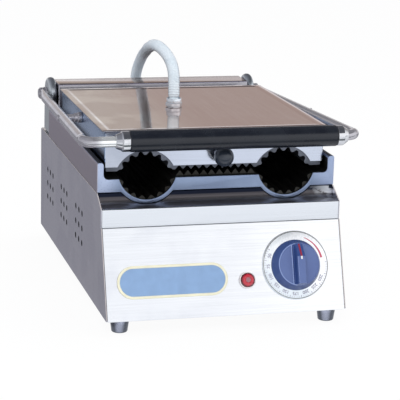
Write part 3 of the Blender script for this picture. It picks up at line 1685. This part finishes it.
@dataclass
class Hinge(SubAssembly):
    """Pillars, rear cover, shaft and springs at the back of the grill."""

    dome: float = 0.0207
    inner_x: float = 0.1277
    outer_x: float = 0.1385
    base_z: float = 0.1483
    bore: float = 0.00725
    cover_front: float = 0.340
    cover_back: float = 0.3825
    cover_top: float = 0.2156
    sheet: float = 0.0012
    nut_x: float = 0.1486
    rim: float = 0.0050
    shaft_hole: float = 0.00605
    shaft_radius: float = 0.0050

    def pillars(self) -> None:
        """Cast posts: a straight foot under a half-round dome, with rounded rims and a bored eye."""
        y, foot = HINGE[0], self.base_z
        loop = np.vstack([
            [(y - self.dome, foot), (y + self.dome, foot)], arc(HINGE, self.dome, 0, 180, 48)
        ])
        for name, side in SIDES.items():
            place = facing_x(side * (self.inner_x + self.outer_x) / 2)
            post = slab(f"pillar_{name}", loop, self.outer_x - self.inner_x, place, self.rim)
            cutter = slab("bore_cutter", circle(self.bore, 48) + np.array(HINGE), 0.03, place)
            self.shop.add(carved(post, [cutter]), "base", "pillar_cast", [f"hinge_pillar_{name}"])
            self.shop.dress("pin_steel", f"hinge_bush_{name}")
            self.shop.dress("spring_wire", f"torsion_spring_{name}")
            self.shop.dress("inner_steel", f"spring_collar_{name}")

    def cover(self) -> None:
        """The rear cover: an open-bottomed box of sheet with rounded folds."""
        half, top, low = self.inner_x - 0.0006, self.cover_top, self.base_z
        walk = [
            (self.sheet, top - self.sheet, 0.0005), (self.sheet, low, 0.0005), (0.0, low, 0.0016),
            (0.0, top - 0.0016, 0.0016), (0.0003, top - 0.0007, 0.0014), (0.0007, top - 0.0002, 0.0010),
            (0.0016, top, 0.0006)
        ]
        layers = []
        for inset, height, radius in walk:
            corners = (inset - half, self.cover_front + inset), (half - inset, self.cover_back - inset)
            layers.append((rectangle(*corners, radius), height))
        cover = layered("spring_cover", layers, Look.FOLDED)
        hole = circle(self.shaft_hole, 32) + np.array(HINGE)
        cutters = [slab("shaft_cutter", hole, 0.01, facing_x(side * half)) for side in SIDES.values()]
        self.shop.add(carved(cover, cutters, Look.FOLDED), "base", "cover_top_steel", ["rear_cover"])
        _, normals = face_places(cover)
        self.shop.paint_faces(cover, "cover_steel", normals[:, 2] < 0.10)
        self.shop.paint_faces(cover, "fold_steel", (normals[:, 2] > 0.10) & (normals[:, 2] < 0.97))

    def shaft(self) -> None:
        """The shaft, and the low round heads that close its ends outside the arms."""
        reach, radius = self.nut_x - 0.0004, self.shaft_radius
        profile = bent([
            (0, reach, 0), (radius, reach, 0.0003), (radius, -reach, 0.0003), (0, -reach, 0)
        ], 3)
        self.shop.add(turned("shaft", profile, facing_x(0, *HINGE)), "handle", "arm_steel", ["hinge_shaft"])
        profile = bent([
            (0, 0.0010, 0), (0.0054, 0.0008, 0.0005), (0.0060, -0.0002, 0.0002), (0.0, -0.0002, 0)
        ])
        for name, side in SIDES.items():
            place = looking((side * self.nut_x, *HINGE), (0, side, 0), (0, 0, 1))
            self.shop.add(
                turned(f"end_nut_{name}", profile, place), "handle", "arm_steel", [f"shaft_nut_{name}"]
            )

    def build(self) -> None:
        """Makes the hinge."""
        self.pillars()
        self.cover()
        self.shaft()


@dataclass
class Handle(SubAssembly):
    """The bent bar with its grip and ferrules."""

    radius: float = 0.006
    bar_y: float = 0.0052
    bar_z: float = 0.2107
    half_span: float = 0.1583
    bend: float = 0.012
    eye_x: float = 0.1455
    grip: Pair = (-0.1079, 0.1333)
    ferrule: float = 0.0114
    ferrule_mouth: float = 0.0078
    press_start: float = 0.318
    press_length: float = 0.030
    pressed: Pair = (0.52, 0.12)

    def arm(self, y: Array) -> Array:
        """Points of the right arm's straight centreline at given distances from the front.

        Args:
            y: the distances.

        Returns:
            Array of points.
        """
        ends = [self.bar_y, HINGE[0]]
        return np.column_stack([
            np.interp(y, ends, [self.half_span, self.eye_x]), y, np.interp(y, ends, [self.bar_z, HINGE[1]])
        ])

    def bar(self) -> None:
        """The bar: a round section run round the U, pressed flat where it becomes the two eyes."""
        rear = np.linspace(HINGE[0] - 0.006, HINGE[0] - 0.050, 14)
        right = self.arm(np.concatenate([rear, np.linspace(0.300, self.bar_y + self.bend, 24)]))
        centre = (self.half_span - self.bend, self.bar_y + self.bend)
        corner = level(arc(centre, self.bend, 0, -90, 14)[1:], self.bar_z)
        straight = np.array([(x, self.bar_y, self.bar_z) for x in np.linspace(0.146, 0.0, 8)[1:]])
        half = np.vstack([right, corner, straight])
        path = np.vstack([half, half[::-1][1:] * np.array([-1, 1, 1])])
        press = np.clip((path[:, 1] - self.press_start) / self.press_length, 0, 1) ** 1.5
        scales = np.column_stack([1 - self.pressed[0] * press, 1 + self.pressed[1] * press])
        bar = swept("bent_bar", circle(self.radius, 40), path, (0, 0, 1), scales, Look.SMOOTH)
        self.shop.add(bar, "handle", "bar_steel", ["handle_bar"])
        profile = bent([
            (0.0053, -0.0025, 0), (0.0075, -0.0025, 0.0012), (0.0075, 0.0025, 0.0012), (0.0053, 0.0025, 0)
        ])
        for name, side in SIDES.items():
            eye = turned(f"arm_eye_{name}", profile, facing_x(side * self.eye_x, *HINGE), ring=True)
            self.shop.add(eye, "handle", "arm_steel", slot="bright_steel")

    def grip_parts(self) -> None:
        """The grip with softly rounded ends, and a ferrule at each."""
        low, high = self.grip
        along, bore = facing_x(0, self.bar_y, self.bar_z), self.radius + 0.0003
        wide, mouth, right, left = self.ferrule, self.ferrule_mouth, high + 0.0003, low - 0.0003
        grip = bent([(bore, high, 0), (0.012, high, 0.0014), (0.012, low, 0.0014), (bore, low, 0)], 6)
        ferrule_right = bent([
            (bore, right, 0), (wide, right, 0.0005), (wide, right + 0.0072, 0.0012),
            (mouth, right + 0.0127, 0.0006), (bore, right + 0.0129, 0)
        ])
        ferrule_left = bent([
            (bore, left, 0), (wide, left, 0.0005), (wide, left - 0.0080, 0.0010),
            (0.0100, left - 0.0092, 0.0008), (mouth, left - 0.0150, 0.0006), (bore, left - 0.0154, 0)
        ])
        for name, profile, sides, finish, node in (
            ("hand_grip", grip, 72, "grip_black", "grip_sleeve"),
            ("right_ferrule", ferrule_right, 56, "bright_plating", "grip_ferrule_right"),
            ("left_ferrule", ferrule_left, 56, "bright_plating", "grip_ferrule_left")
        ):
            self.shop.add(turned(name, profile, along, sides, ring=True), "handle", finish, [node])

    def build(self) -> None:
        """Makes the handle."""
        self.bar()
        self.grip_parts()


@dataclass
class Hose(SubAssembly):
    """The interlocked metal conduit from the lid to the back, with its two fittings."""

    crest: float = 0.0071
    valley: float = 0.0066
    pitch: float = 0.0029
    rib: tuple[float, ...] = (0.0, 0.75, 0.97, 1.0, 1.0, 0.97, 0.75, 0.10)
    crimp_heights: tuple[float, ...] = (0.2185, 0.2215, 0.2275, 0.2300)
    crimp_shares: tuple[float, ...] = (0.78, 0.84, 0.86, 1.0)
    lid_end_y: float = 0.20
    stops: int = 90
    first_free_stop: int = 12
    nut_seat: float = 0.2173
    wall_y: float = 0.3973
    nut_flat: float = 0.0090
    nut_corner: float = 0.0104
    elbow_z: float = 0.132
    elbow_bend: float = 0.014
    elbow_radius: float = 0.0088
    elbow_mouth: float = 0.0102
    elbow_collar: float = 0.0110
    elbow_spigot: float = 0.0076
    route: tuple[Triple, ...] = (
        (-0.0161, 0.1711, 0.2040), (-0.0161, 0.1711, 0.2110), (-0.0161, 0.1711, 0.2184),
        (-0.0158, 0.1731, 0.2320), (-0.0144, 0.1800, 0.2484), (-0.0140, 0.1920, 0.2628),
        (-0.0176, 0.2092, 0.2748), (-0.0221, 0.2315, 0.2804), (-0.0231, 0.2562, 0.2782),
        (-0.0208, 0.2814, 0.2722), (-0.0170, 0.3073, 0.2668), (-0.0124, 0.3330, 0.2609),
        (-0.0084, 0.3580, 0.2542), (-0.0053, 0.3821, 0.2474), (-0.0025, 0.4045, 0.2395),
        (-0.0015, 0.4239, 0.2284), (-0.0019, 0.4385, 0.2131), (-0.0015, 0.4470, 0.1946),
        (-0.0013, 0.4494, 0.1750), (-0.0013, 0.4494, 0.1600)
    )

    def line(self, count: int) -> Array:
        """Points at even distances along a cubic spline through the route, upright at both ends.

        Args:
            count: how many points.

        Returns:
            Array of points.
        """
        points = np.array(self.route)
        chords = np.linalg.norm(np.diff(points, axis=0), axis=1)
        size = len(points)
        system, right = np.eye(size), np.zeros((size, 3))
        right[0], right[-1] = (0, 0, 1), (0, 0, -1)
        before, after = chords[:-1], chords[1:]
        inner = np.arange(1, size - 1)
        system[inner, inner - 1] = after
        system[inner, inner] = 2 * (before + after)
        system[inner, inner + 1] = before
        steps = np.diff(points, axis=0) / chords[:, None]
        right[1:-1] = 3 * (after[:, None] * steps[:-1] + before[:, None] * steps[1:])
        slopes = np.linalg.solve(system, right)
        t = np.linspace(0, 1, 60, endpoint=False)[None, :, None]
        h = chords[:, None, None]
        p0, p1, m0, m1 = (a[:, None, :] for a in (points[:-1], points[1:], slopes[:-1], slopes[1:]))
        blend = 2 * t**3 - 3 * t**2 + 1
        curve = blend * p0 + (t**3 - 2 * t**2 + t) * m0 * h + (1 - blend) * p1 + (t**3 - t**2) * m1 * h
        return spaced(np.vstack([curve.reshape(-1, 3), points[-1]]), count)

    def hose(self) -> None:
        """The hose: each rib's radius rises steeply, runs level and dips into a narrow seam."""
        length = float(np.linalg.norm(np.diff(self.line(2000), axis=0), axis=1).sum())
        ribs, steps = round(length / self.pitch), len(self.rib)
        path = self.line(ribs * steps + 1)
        bulge = np.array(self.rib)[np.arange(len(path)) % steps]
        crimp = np.interp(path[:, 2], self.crimp_heights, self.crimp_shares)
        radii = (
            self.valley + (self.crest - self.valley) * bulge
        ) * np.where(path[:, 1] < self.lid_end_y, crimp, 1.0)
        scales = np.column_stack([radii, radii])
        hose = swept("metal_hose", circle(1.0, 24), path, (1, 0, 0), scales, Look.SMOOTH, weld=1e-7)
        hose.data.materials.append(self.shop.finishes["hose_steel"])
        centre = [tuple(point) for point in self.line(self.stops) + np.array(MAKER_SHIFT)]
        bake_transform(hose)
        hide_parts("conduit")
        self.shop.pieces.append(hose)
        LOG.info("metal_hose: %.4f m, %d ribs, %d faces", length, ribs, len(hose.data.polygons))

    def lid_fitting(self) -> None:
        """The nut and sleeve on the lid: a chamfered hexagon under a belled collar."""
        angles = np.linspace(0, 2 * math.pi, 96, endpoint=False)
        hexagon = self.nut_flat / np.cos((angles % (math.pi / 3)) - math.pi / 6)
        rings = []
        for share, height in ((0.93, 0.0), (1.0, 0.0005), (1.0, 0.0041), (0.93, 0.0048)):
            rings.append((np.minimum(hexagon, self.nut_corner * (0.90 + share * 0.10)) * share, height))
        sleeve = [
            (0.0090, 0.0050), (0.0090, 0.0090), (0.0087, 0.0096), (0.0083, 0.0096), (0.0079, 0.0060),
            (0.0077, -0.0110), (0.0085, -0.0110), (0.0085, 0.0)
        ]
        rings += [(np.full(len(angles), radius), height) for radius, height in sleeve]
        round_it = np.column_stack([np.cos(angles), np.sin(angles)])
        points = np.stack([level(radius[:, None] * round_it, height) for radius, height in rings])
        place = Matrix.Translation((*HOSE_AT, self.nut_seat))
        nut = skin("hose_nut", points, place=place, caps=False, ring=True)
        self.shop.add(nut, "upper_plate", "fitting_steel", ["lid_connector"])
        self.shop.dress("brass", "connector_locknut")

    def rear_elbow(self) -> None:
        """The rear fitting: a round elbow with a collar at its mouth and a flange on the back panel."""
        x, y, mouth = self.route[-1]
        wall, height, bend = self.wall_y, self.elbow_z, self.elbow_bend
        corner = arc((y - bend, height + bend), bend, 0, -90, 16)
        down = np.column_stack([np.full(6, y), np.linspace(mouth - 0.0003, height + bend, 6)])[:-1]
        back = np.column_stack([np.linspace(y - bend, wall - 0.0092, 12), np.full(12, height)])[1:]
        flat = np.vstack([down, corner, back])
        path = np.column_stack([np.full(len(flat), x), flat])
        radius = np.full(len(path), self.elbow_radius)
        radius[:3] = self.elbow_mouth
        radius[path[:, 1] < wall + 0.0003] = self.elbow_spigot
        radius[(path[:, 1] >= wall) & (path[:, 1] < wall + 0.006)] = self.elbow_collar
        elbow = swept("hose_elbow", circle(1.0, 48), path, (1, 0, 0), np.column_stack([radius, radius]))
        self.shop.add(elbow, "base", "bright_plating", ["conduit_elbow"])
        profile = bent([
            (0.0078, 0.0003, 0), (0.0125, 0.0003, 0.0004), (0.0125, 0.0052, 0.0009), (0.0078, 0.0056, 0)
        ], 4)
        place = looking((x, wall - 0.0003, height), (-1, 0, 0), (0, 0, 1))
        flange = turned("elbow_flange", profile, place, ring=True)
        self.shop.add(flange, "base", "bright_plating", slot="bright_steel")

    def build(self) -> None:
        """Makes the hose and its fittings."""
        self.hose()
        self.lid_fitting()
        self.rear_elbow()


@dataclass
class Controls(SubAssembly):
    """Dial, knob, lamp and the bare badge on the control panel."""

    panel: ControlPanelPlane = field(default_factory=ControlPanelPlane)
    dial_radius: float = 0.0393
    dial_top: float = 0.0017
    ink: float = 0.00008
    rim_line: Pair = (0.0378, 0.0385)
    band_angles: Pair = (13.0, 69.0)
    band_outer: float = 0.0334
    band_inner: Pair = (0.0309, 0.0327)
    first_mark: float = 148.0
    mark_step: float = 4.3
    mark_end: float = 0.0373
    mark_starts: Pair = (0.0350, 0.0358)
    mark_halves: Pair = (0.00034, 0.00022)
    number_size: float = 0.0052
    number_radius: float = 0.0324
    knob_face: float = 0.0243
    face_height: float = 0.0158
    grip_half: float = 0.0047
    grip_top: float = 0.0260
    grip_fall: float = 0.0092
    grip_bend: float = 0.0085
    badge: Pair = (-0.0618, 0.0425)
    badge_size: Pair = (0.1275, 0.037)

    def dial_plate(self) -> None:
        """The silver disc with a rolled rim, and its printed rings and marks laid on it."""
        place, top, wide = self.panel.place(*DIAL_AT), self.dial_top, self.dial_radius
        profile = bent([
            (0.005, 0.0003, 0), (wide, 0.0003, 0.0002), (wide, top, 0.0005), (0.005, top, 0)
        ], 4)
        disc = turned("dial_disc", profile, place, 128, ring=True)
        self.shop.add(disc, "base", "dial_silver", ["dial_plate"])
        (low, high), over = self.rim_line, top + self.ink
        ring = np.array([(low, top), (high, top), (high, over), (low, over)])
        line = turned("dial_rim_line", ring, place, 128, ring=True)
        self.shop.add(line, "base", "dial_line", slot="dial_silver")
        printed = place @ Matrix.Translation((0, 0, top + 0.00005))
        start, end = self.band_angles
        outer = arc((0, 0), self.band_outer, end, start, 40)
        inner = arc((0, 0), 1.0, start, end, 40) * np.linspace(*self.band_inner, 41)[:, None]
        band = slab("dial_red_band", np.vstack([outer, inner]), self.ink, printed)
        self.shop.add(band, "base", "dial_red", slot="dial_silver")
        steps = np.arange(51)
        angles = np.radians(self.first_mark + steps * self.mark_step)
        along = np.column_stack([np.cos(angles), np.sin(angles)])
        side = np.column_stack([-np.sin(angles), np.cos(angles)])
        long = (steps % 5 == 0)[:, None]
        half = np.where(long, *self.mark_halves) * side
        low, high = np.where(long, *self.mark_starts) * along, self.mark_end * along
        loops = np.stack([low - half, high - half, high + half, low + half], axis=1)
        marks = [slab("dial_mark", loop, 0.00010, printed) for loop in loops]
        for index in range(9):
            angle = self.first_mark + self.mark_step * (2.5 + 5 * index)
            marks.append(self.number(str(25 * (index + 2)), math.radians(angle), printed))
        self.shop.add(merged("dial_marks", marks), "base", "dial_grey", slot="dial_silver")

    def number(self, text: str, angle: float, place: Matrix) -> Piece:
        """A plain number on the dial, upright to someone who looks from the dial's middle.

        Args:
            text: the number.
            angle: where it stands round the dial, in radians.
            place: the printed surface's frame.

        Returns:
            The piece.
        """
        curve = bpy.data.curves.new("dial_number", "FONT")
        curve.body = text
        curve.size = self.number_size
        curve.offset = 0.00012
        curve.extrude = 0.00005
        curve.resolution_u = 3
        curve.align_x, curve.align_y = "CENTER", "CENTER"
        turn = Matrix.Rotation(angle - math.pi / 2, 4, "Z")
        at = place @ turn @ Matrix.Translation((0, self.number_radius, 0))
        return baked_curve("dial_number", curve, at)

    def crown(self, up: Array) -> Array:
        """The height of the knob's grip bar: level, then sloping down to the face at the pointer's end."""
        slope = np.clip((up - self.grip_bend) / (self.knob_face - self.grip_bend), 0, 1)
        return self.grip_top - self.grip_fall * slope**1.1

    def knob_height(self, x: Array, y: Array) -> Array:
        """The knob's height over its disc: the face with its rim, its crease and the grip bar.

        The rim and the crease are bell curves, exp(-((distance - middle) / width)^2). The face falls away
        at its edge with the 40th power of the radius. The bar's flanks are smooth steps, s s (3 - 2 s).

        Args:
            x: distances across the panel.
            y: distances up the panel.

        Returns:
            The heights.
        """
        radius = np.hypot(x, y)
        rim = 0.0004 * np.exp(-(((radius - 0.0233) / 0.0006) ** 2))
        face = self.face_height + rim - 0.0008 * (radius / self.knob_face) ** 40
        face += 0.0009 * np.exp(-(((x + 0.0080) / 0.0005) ** 2)) * np.clip(
            (0.0225 - np.abs(y)) / 0.002, 0, 1
        )
        side = np.clip((self.grip_half + 0.0008 - np.abs(x)) / 0.0014, 0, 1)
        end = np.clip((y + 0.0241) / 0.0022, 0, 1)
        side, end = side * side * (3 - 2 * side), end * end * (3 - 2 * end)
        top = self.crown(y) - 0.0005 * (x / self.grip_half) ** 2
        return face + np.maximum(top - face, 0) * side * end

    def knob(self) -> None:
        """The knob: a rimmed face with a grip bar across it, a cone for its side, and the pointer."""
        place = self.panel.place(*DIAL_AT)
        angles = np.linspace(0, 2 * math.pi, 360, endpoint=False)
        radius = np.concatenate([
            np.linspace(0.0, 0.90, 90), np.linspace(0.905, 1.0, 20)
        ])[:, None] * self.knob_face
        x, y = radius * np.cos(angles), radius * np.sin(angles)
        points = [np.stack([x, y, self.knob_height(x, y)], axis=-1)]
        cone = (
            (0.0247, 0.0145), (0.0262, 0.0102), (0.0280, 0.0050), (0.0290, 0.0028), (0.0290, 0.0020),
            (0.0, 0.0020)
        )
        points += [level(circle(radius, len(angles)), height)[None] for radius, height in cone]
        knob = skin("heat_knob", np.concatenate(points), place=place, caps=False)
        self.shop.add(knob, "heat_control", "knob_blue", ["thermostat_knob"])
        self.paint_knob(knob)
        self.shop.dress("brass", "knob_stem")
        for name, finish, low, high, half in (
            ("pointer_strip", "pointer_red", 0.0088, 0.0230, 0.0011),
            ("pointer_tip", "pointer_white", 0.0052, 0.0086, 0.0009)
        ):
            ups = np.linspace(low, high, 16)
            top = self.crown(ups) - 0.0005 * (half / self.grip_half) ** 2
            corners = ((-half, -0.0003), (half, -0.0003), (half, 0.00012), (-half, 0.00012))
            rows = np.stack([np.column_stack([np.full(16, a), ups, top + d]) for a, d in corners], axis=1)
            strip = skin(name, rows, Look.FOLDED, place)
            self.shop.add(strip, "heat_control", finish, slot="knob_plastic")

    def paint_knob(self, knob: Piece) -> None:
        """The knob's darker flanks and the pale lines along its edges.

        Args:
            knob: the knob.
        """
        middles, normals = face_places(knob)
        away = middles - np.array(self.panel.place(*DIAL_AT).translation)
        across, up, out = away[:, 0], away @ np.array(self.panel.up), away @ np.array(self.panel.out)
        reach, outward = np.hypot(across, up), normals @ np.array(self.panel.out)
        cone = (outward < 0.75) & (out < 0.0148)
        beside = (across > -0.0074) & (across < -0.0046) & (out < 0.0252) & (reach < 0.0234)
        sloped = (np.abs(across) < 0.0046) & (up > 0.0086) & (reach < 0.0236)
        self.shop.paint_faces(knob, "knob_side_blue", cone | beside | sloped)
        rim = (np.abs(reach - 0.0238) < 0.0004) & (across < -0.004) & (out > 0.0148)
        crease = (np.abs(across + 0.0082) < 0.00035) & (np.abs(up) < 0.0222)
        flank = (np.abs(across + 0.0044) < 0.0004) & (out > 0.0250)
        corner = flank & (up < self.grip_bend) & (up > -0.0222)
        self.shop.paint_faces(knob, "knob_edge_blue", rim | crease | corner)

    def lamp_parts(self) -> None:
        """The lamp: a pale frame ring and a faceted red lens."""
        place = self.panel.place(*LAMP_AT)
        profile = bent([
            (0.0085, 0.0003, 0), (0.0096, 0.0003, 0.0002), (0.0096, 0.0022, 0.0005),
            (0.0085, 0.0024, 0.0003)
        ], 4)
        self.shop.add(
            turned("lamp_frame", profile, place, 56, ring=True), "base", "lamp_frame_pale", ["lamp_bezel"]
        )
        profile = np.array([
            (0, 0.0048), (0.0030, 0.0050), (0.0040, 0.0058), (0.0056, 0.0056), (0.0068, 0.0044),
            (0.0081, 0.0032), (0.0083, 0.0003), (0.0058, 0.0003), (0.0058, -0.024), (0, -0.024)
        ])
        lens = turned("lamp_glass", profile, place, 14, Look.FOLDED)
        self.shop.add(lens, "base", "lamp_lens_red", ["lamp_lens"])
        middles, _ = face_places(lens)
        away = middles - np.array(place.translation)
        height = away @ np.array(self.panel.out)
        reach = np.linalg.norm(away - height[:, None] * np.array(self.panel.out), axis=1)
        self.shop.paint_faces(lens, "lamp_edge_red", (reach > 0.0070) | (height < 0.0030))
        self.shop.paint_faces(lens, "lamp_middle_red", (reach < 0.0033) & (height > 0.0030))

    def badge_loop(self, inset: float) -> Array:
        """The badge's outline, set in by a distance.

        Args:
            inset: the distance.

        Returns:
            Array of (across, up).
        """
        length, height = self.badge_size
        radius, reach = height / 2 - inset, (length - height) / 2
        return np.vstack([arc((reach, 0), radius, -90, 90, 40), arc((-reach, 0), radius, 90, 270, 40)])

    def badge_parts(self) -> None:
        """The bare badge: a cream plate with a raised bead round a blue field."""
        place = self.panel.place(*self.badge)
        frame_walk = [
            (0.0002, 0.0003), (0.0, 0.0006), (0.0, 0.0012), (0.0004, 0.00165), (0.0012, 0.0018),
            (0.0022, 0.0018), (0.0028, 0.0015), (0.0031, 0.0011)
        ]
        field_walk = [(0.0030, 0.0010), (0.0030, 0.00125), (0.0040, 0.00135), (0.0100, 0.00145)]
        for name, walk, finish, nodes in (
            ("badge_frame", frame_walk, "badge_cream", ["badge_plate"]),
            ("badge_field", field_walk, "badge_blue", [])
        ):
            piece = layered(name, [(self.badge_loop(inset), height) for inset, height in walk], place=place)
            self.shop.add(piece, "base", finish, nodes, slot="badge_blue")

    def build(self) -> None:
        """Makes the controls."""
        self.dial_plate()
        self.knob()
        self.lamp_parts()
        self.badge_parts()


@dataclass
class TiltLock(SubAssembly):
    """The black ball at the lid's front, on its stud, and the wire finger behind it."""

    ball_y: float = 0.0200
    radius: float = 0.0113
    wire_y: float = 0.0332
    wire_radius: float = 0.0010
    wire_line: tuple[Pair, ...] = (
        (0.0, -0.0050), (-0.0028, -0.0070), (-0.0052, -0.0072), (-0.0087, -0.0040), (-0.0122, 0.0),
        (-0.0152, 0.0045), (-0.0172, 0.0095), (-0.0182, 0.0144)
    )

    def build(self) -> None:
        """Makes the ball with its stud, and the collar with its wire."""
        x, z = LOCK
        place = looking((x, self.ball_y, z), (1, 0, 0), (0, 0, 1))
        ball = arc((0, 0), self.radius, 90, -74, 40)
        ball[0, 0] = 0.0
        profile = np.vstack([ball, [(0.0030, -0.0112), (0.0030, -0.0285), (0, -0.0285)]])
        self.shop.add(turned("lock_ball", profile, place, 64), "tilt_lock", "ball_black", ["lock_knob"])
        back, front = self.ball_y - 0.0348, -self.radius - 0.0003
        profile = bent([
            (0.0033, back, 0), (0.0068, back, 0.0004), (0.0068, front, 0.0004), (0.0033, front, 0)
        ], 4)
        self.shop.add(
            turned("lock_collar", profile, place, ring=True), "tilt_lock", "spring_wire", ["lock_hook"]
        )
        fine = spaced(catmull(np.array(self.wire_line)), 40)
        path = np.column_stack([x + fine[:, 0], np.full(40, self.wire_y), z + fine[:, 1]])
        wire = swept("lock_wire", circle(self.wire_radius, 20), path, (0, 1, 0), np.ones((40, 2)))
        self.shop.add(wire, "tilt_lock", "spring_wire", slot="spring_steel")


# The studio


@dataclass
class Studio:
    """A pale sweep of floor, soft light from all round, and a camera at the photograph's angle."""

    camera_at: Triple = (-0.50168, -1.74240, 0.59048)
    yaw: float = -15.25
    pitch: float = -13.94
    roll: float = 1.56
    lens: float = 149.04
    floor_reach: float = 6.0

    def camera(self) -> None:
        """The camera: yaw about Z, then pitch about its own X, then roll about its own line of sight."""
        yaw, pitch = math.radians(self.yaw), math.radians(self.pitch)
        turns = Matrix.Rotation(yaw, 3, "Z") @ Matrix.Rotation(pitch, 3, "X")
        axes = np.array(turns @ Matrix.Rotation(math.radians(self.roll), 3, "Y").transposed())
        data = bpy.data.cameras.new("photo_camera")
        data.lens = self.lens
        data.sensor_width = 36.0
        data.clip_end = 50.0
        obj = bpy.data.objects.new("photo_camera", data)
        turn = Matrix((axes[:, 0], axes[:, 2], -axes[:, 1])).transposed().to_4x4()
        obj.matrix_world = Matrix.Translation(Vector(self.camera_at) + MAKER_SHIFT) @ turn
        bpy.context.scene.collection.objects.link(obj)
        bpy.context.scene.camera = obj

    def world(self) -> None:
        """The world: white to the camera, even to diffuse light, and a plain studio to reflections.

        Reflections see a bright wall in front, a warm grey band low behind that darkens further up, and a
        dim wall to the left.
        """
        world = bpy.data.worlds.new("studio")
        bpy.context.scene.world = world
        tree = Tree.emptied(world)
        out = tree.node("ShaderNodeOutputWorld")
        path = tree.node("ShaderNodeLightPath")
        x, y, z = tree.coordinates("Generated")
        behind = tree.ramp(y, -0.2, 0.75)
        leftness = tree.ramp(x, 0.1, -0.7)
        front = tree.mixed(tree.ramp(z, 0.50, 0.60), (1.10, 1.11, 1.14), (0.09, 0.095, 0.11))
        rear = tree.mixed(tree.ramp(z, 0.13, 0.165), (0.80, 0.80, 0.84), (0.50, 0.45, 0.43))
        rear = tree.mixed(tree.ramp(z, 0.26, 0.34), rear, (0.13, 0.13, 0.145))
        walls = tree.mixed(behind, front, rear)
        walls = tree.mixed(tree.maths("MULTIPLY", leftness, 0.7), walls, (0.40, 0.41, 0.46))
        shown = tree.mixed(path.outputs["Is Glossy Ray"], (0.80, 0.81, 0.84), walls)
        shown = tree.mixed(path.outputs["Is Camera Ray"], shown, (1.0, 1.0, 1.0))
        background = tree.node("ShaderNodeBackground")
        tree.join(shown, background.inputs["Color"])
        tree.join(background.outputs[0], out.inputs["Surface"])

    def floor(self) -> None:
        """The floor: white with the grill's shadow to the camera, and shaded to reflections.

        Reflections see it bright in front of the grill, with one dark band, and dark behind and to the left.
        """
        mesh = bpy.data.meshes.new("floor")
        corners = rectangle((-self.floor_reach,) * 2, (self.floor_reach,) * 2, steps=0)
        mesh.from_pydata(level(corners, 0.0).tolist(), [], [(0, 1, 2, 3)])
        obj = bpy.data.objects.new("floor", mesh)
        obj.location = (0, 0, -0.0005)
        bpy.context.scene.collection.objects.link(obj)
        material = bpy.data.materials.new("floor_paper")
        tree = Tree.emptied(material)
        out = tree.node("ShaderNodeOutputMaterial")
        path = tree.node("ShaderNodeLightPath")
        x, y, _ = tree.coordinates("Object")
        paper = tree.node("ShaderNodeBsdfDiffuse")
        paper.inputs["Color"].default_value = (0.86, 0.86, 0.87, 1)
        glow = tree.node("ShaderNodeEmission")
        behind = tree.ramp(y, -0.35, 0.3)
        beside = tree.ramp(x, -0.150, -0.135, 1.0, 0.0)
        beside = tree.maths("MULTIPLY", beside, tree.ramp(y, -0.31, -0.26))
        behind = tree.maths("MAXIMUM", behind, beside)
        near = tree.ramp(y, -0.60, -0.54)
        far = tree.ramp(y, -0.40, -0.34, 1.0, 0.0)
        shade = tree.mixed(behind, (0.92, 0.94, 0.98), (0.30, 0.30, 0.33))
        shade = tree.mixed(tree.maths("MULTIPLY", near, far), shade, (0.12, 0.14, 0.15))
        tree.join(shade, glow.inputs["Color"])
        white = tree.node("ShaderNodeEmission")
        matt = tree.either(path.outputs["Is Glossy Ray"], paper.outputs[0], glow.outputs[0])
        share = tree.maths("MULTIPLY", path.outputs["Is Camera Ray"], 0.94)
        tree.join(tree.either(share, matt, white.outputs[0]), out.inputs["Surface"])
        mesh.materials.append(material)

    def lamp(self, name: str, at: Triple, size: float, power: float) -> None:
        """One soft square lamp that faces the grill and isn't mirrored in its metal.

        Args:
            name: the lamp's name.
            at: where it hangs.
            size: its side.
            power: its power, in watts.
        """
        data = bpy.data.lights.new(name, "AREA")
        data.size = size
        data.energy = power
        obj = bpy.data.objects.new(name, data)
        obj.visible_glossy = False
        aim = Vector((0, 0, 0.15)) - Vector(at)
        obj.matrix_world = Matrix.Translation(at) @ aim.to_track_quat("-Z", "Y").to_matrix().to_4x4()
        bpy.context.scene.collection.objects.link(obj)

    def build(self) -> None:
        """Sets the camera, the light and the floor."""
        bpy.context.scene.view_settings.view_transform = "Standard"
        self.camera()
        self.world()
        self.floor()
        self.lamp("front_lamp", (-0.6, -1.6, 1.5), 0.9, 14.0)
        self.lamp("top_lamp", (0.5, 0.2, 1.9), 1.0, 12.0)


def main() -> None:
    """Builds the grill round its frame, part by part, and the studio round the grill."""
    logging.basicConfig(level=logging.INFO, format="%(name)s: %(message)s")
    Studio().build()
    shop = Workshop()
    for assembly in (Hose, Housing, Plates, Lid, Hinge, Handle, Controls, TiltLock):
        assembly(shop).build()
    LOG.info("%d pieces in all", len(shop.pieces))


if __name__ == "__main__":
    main()
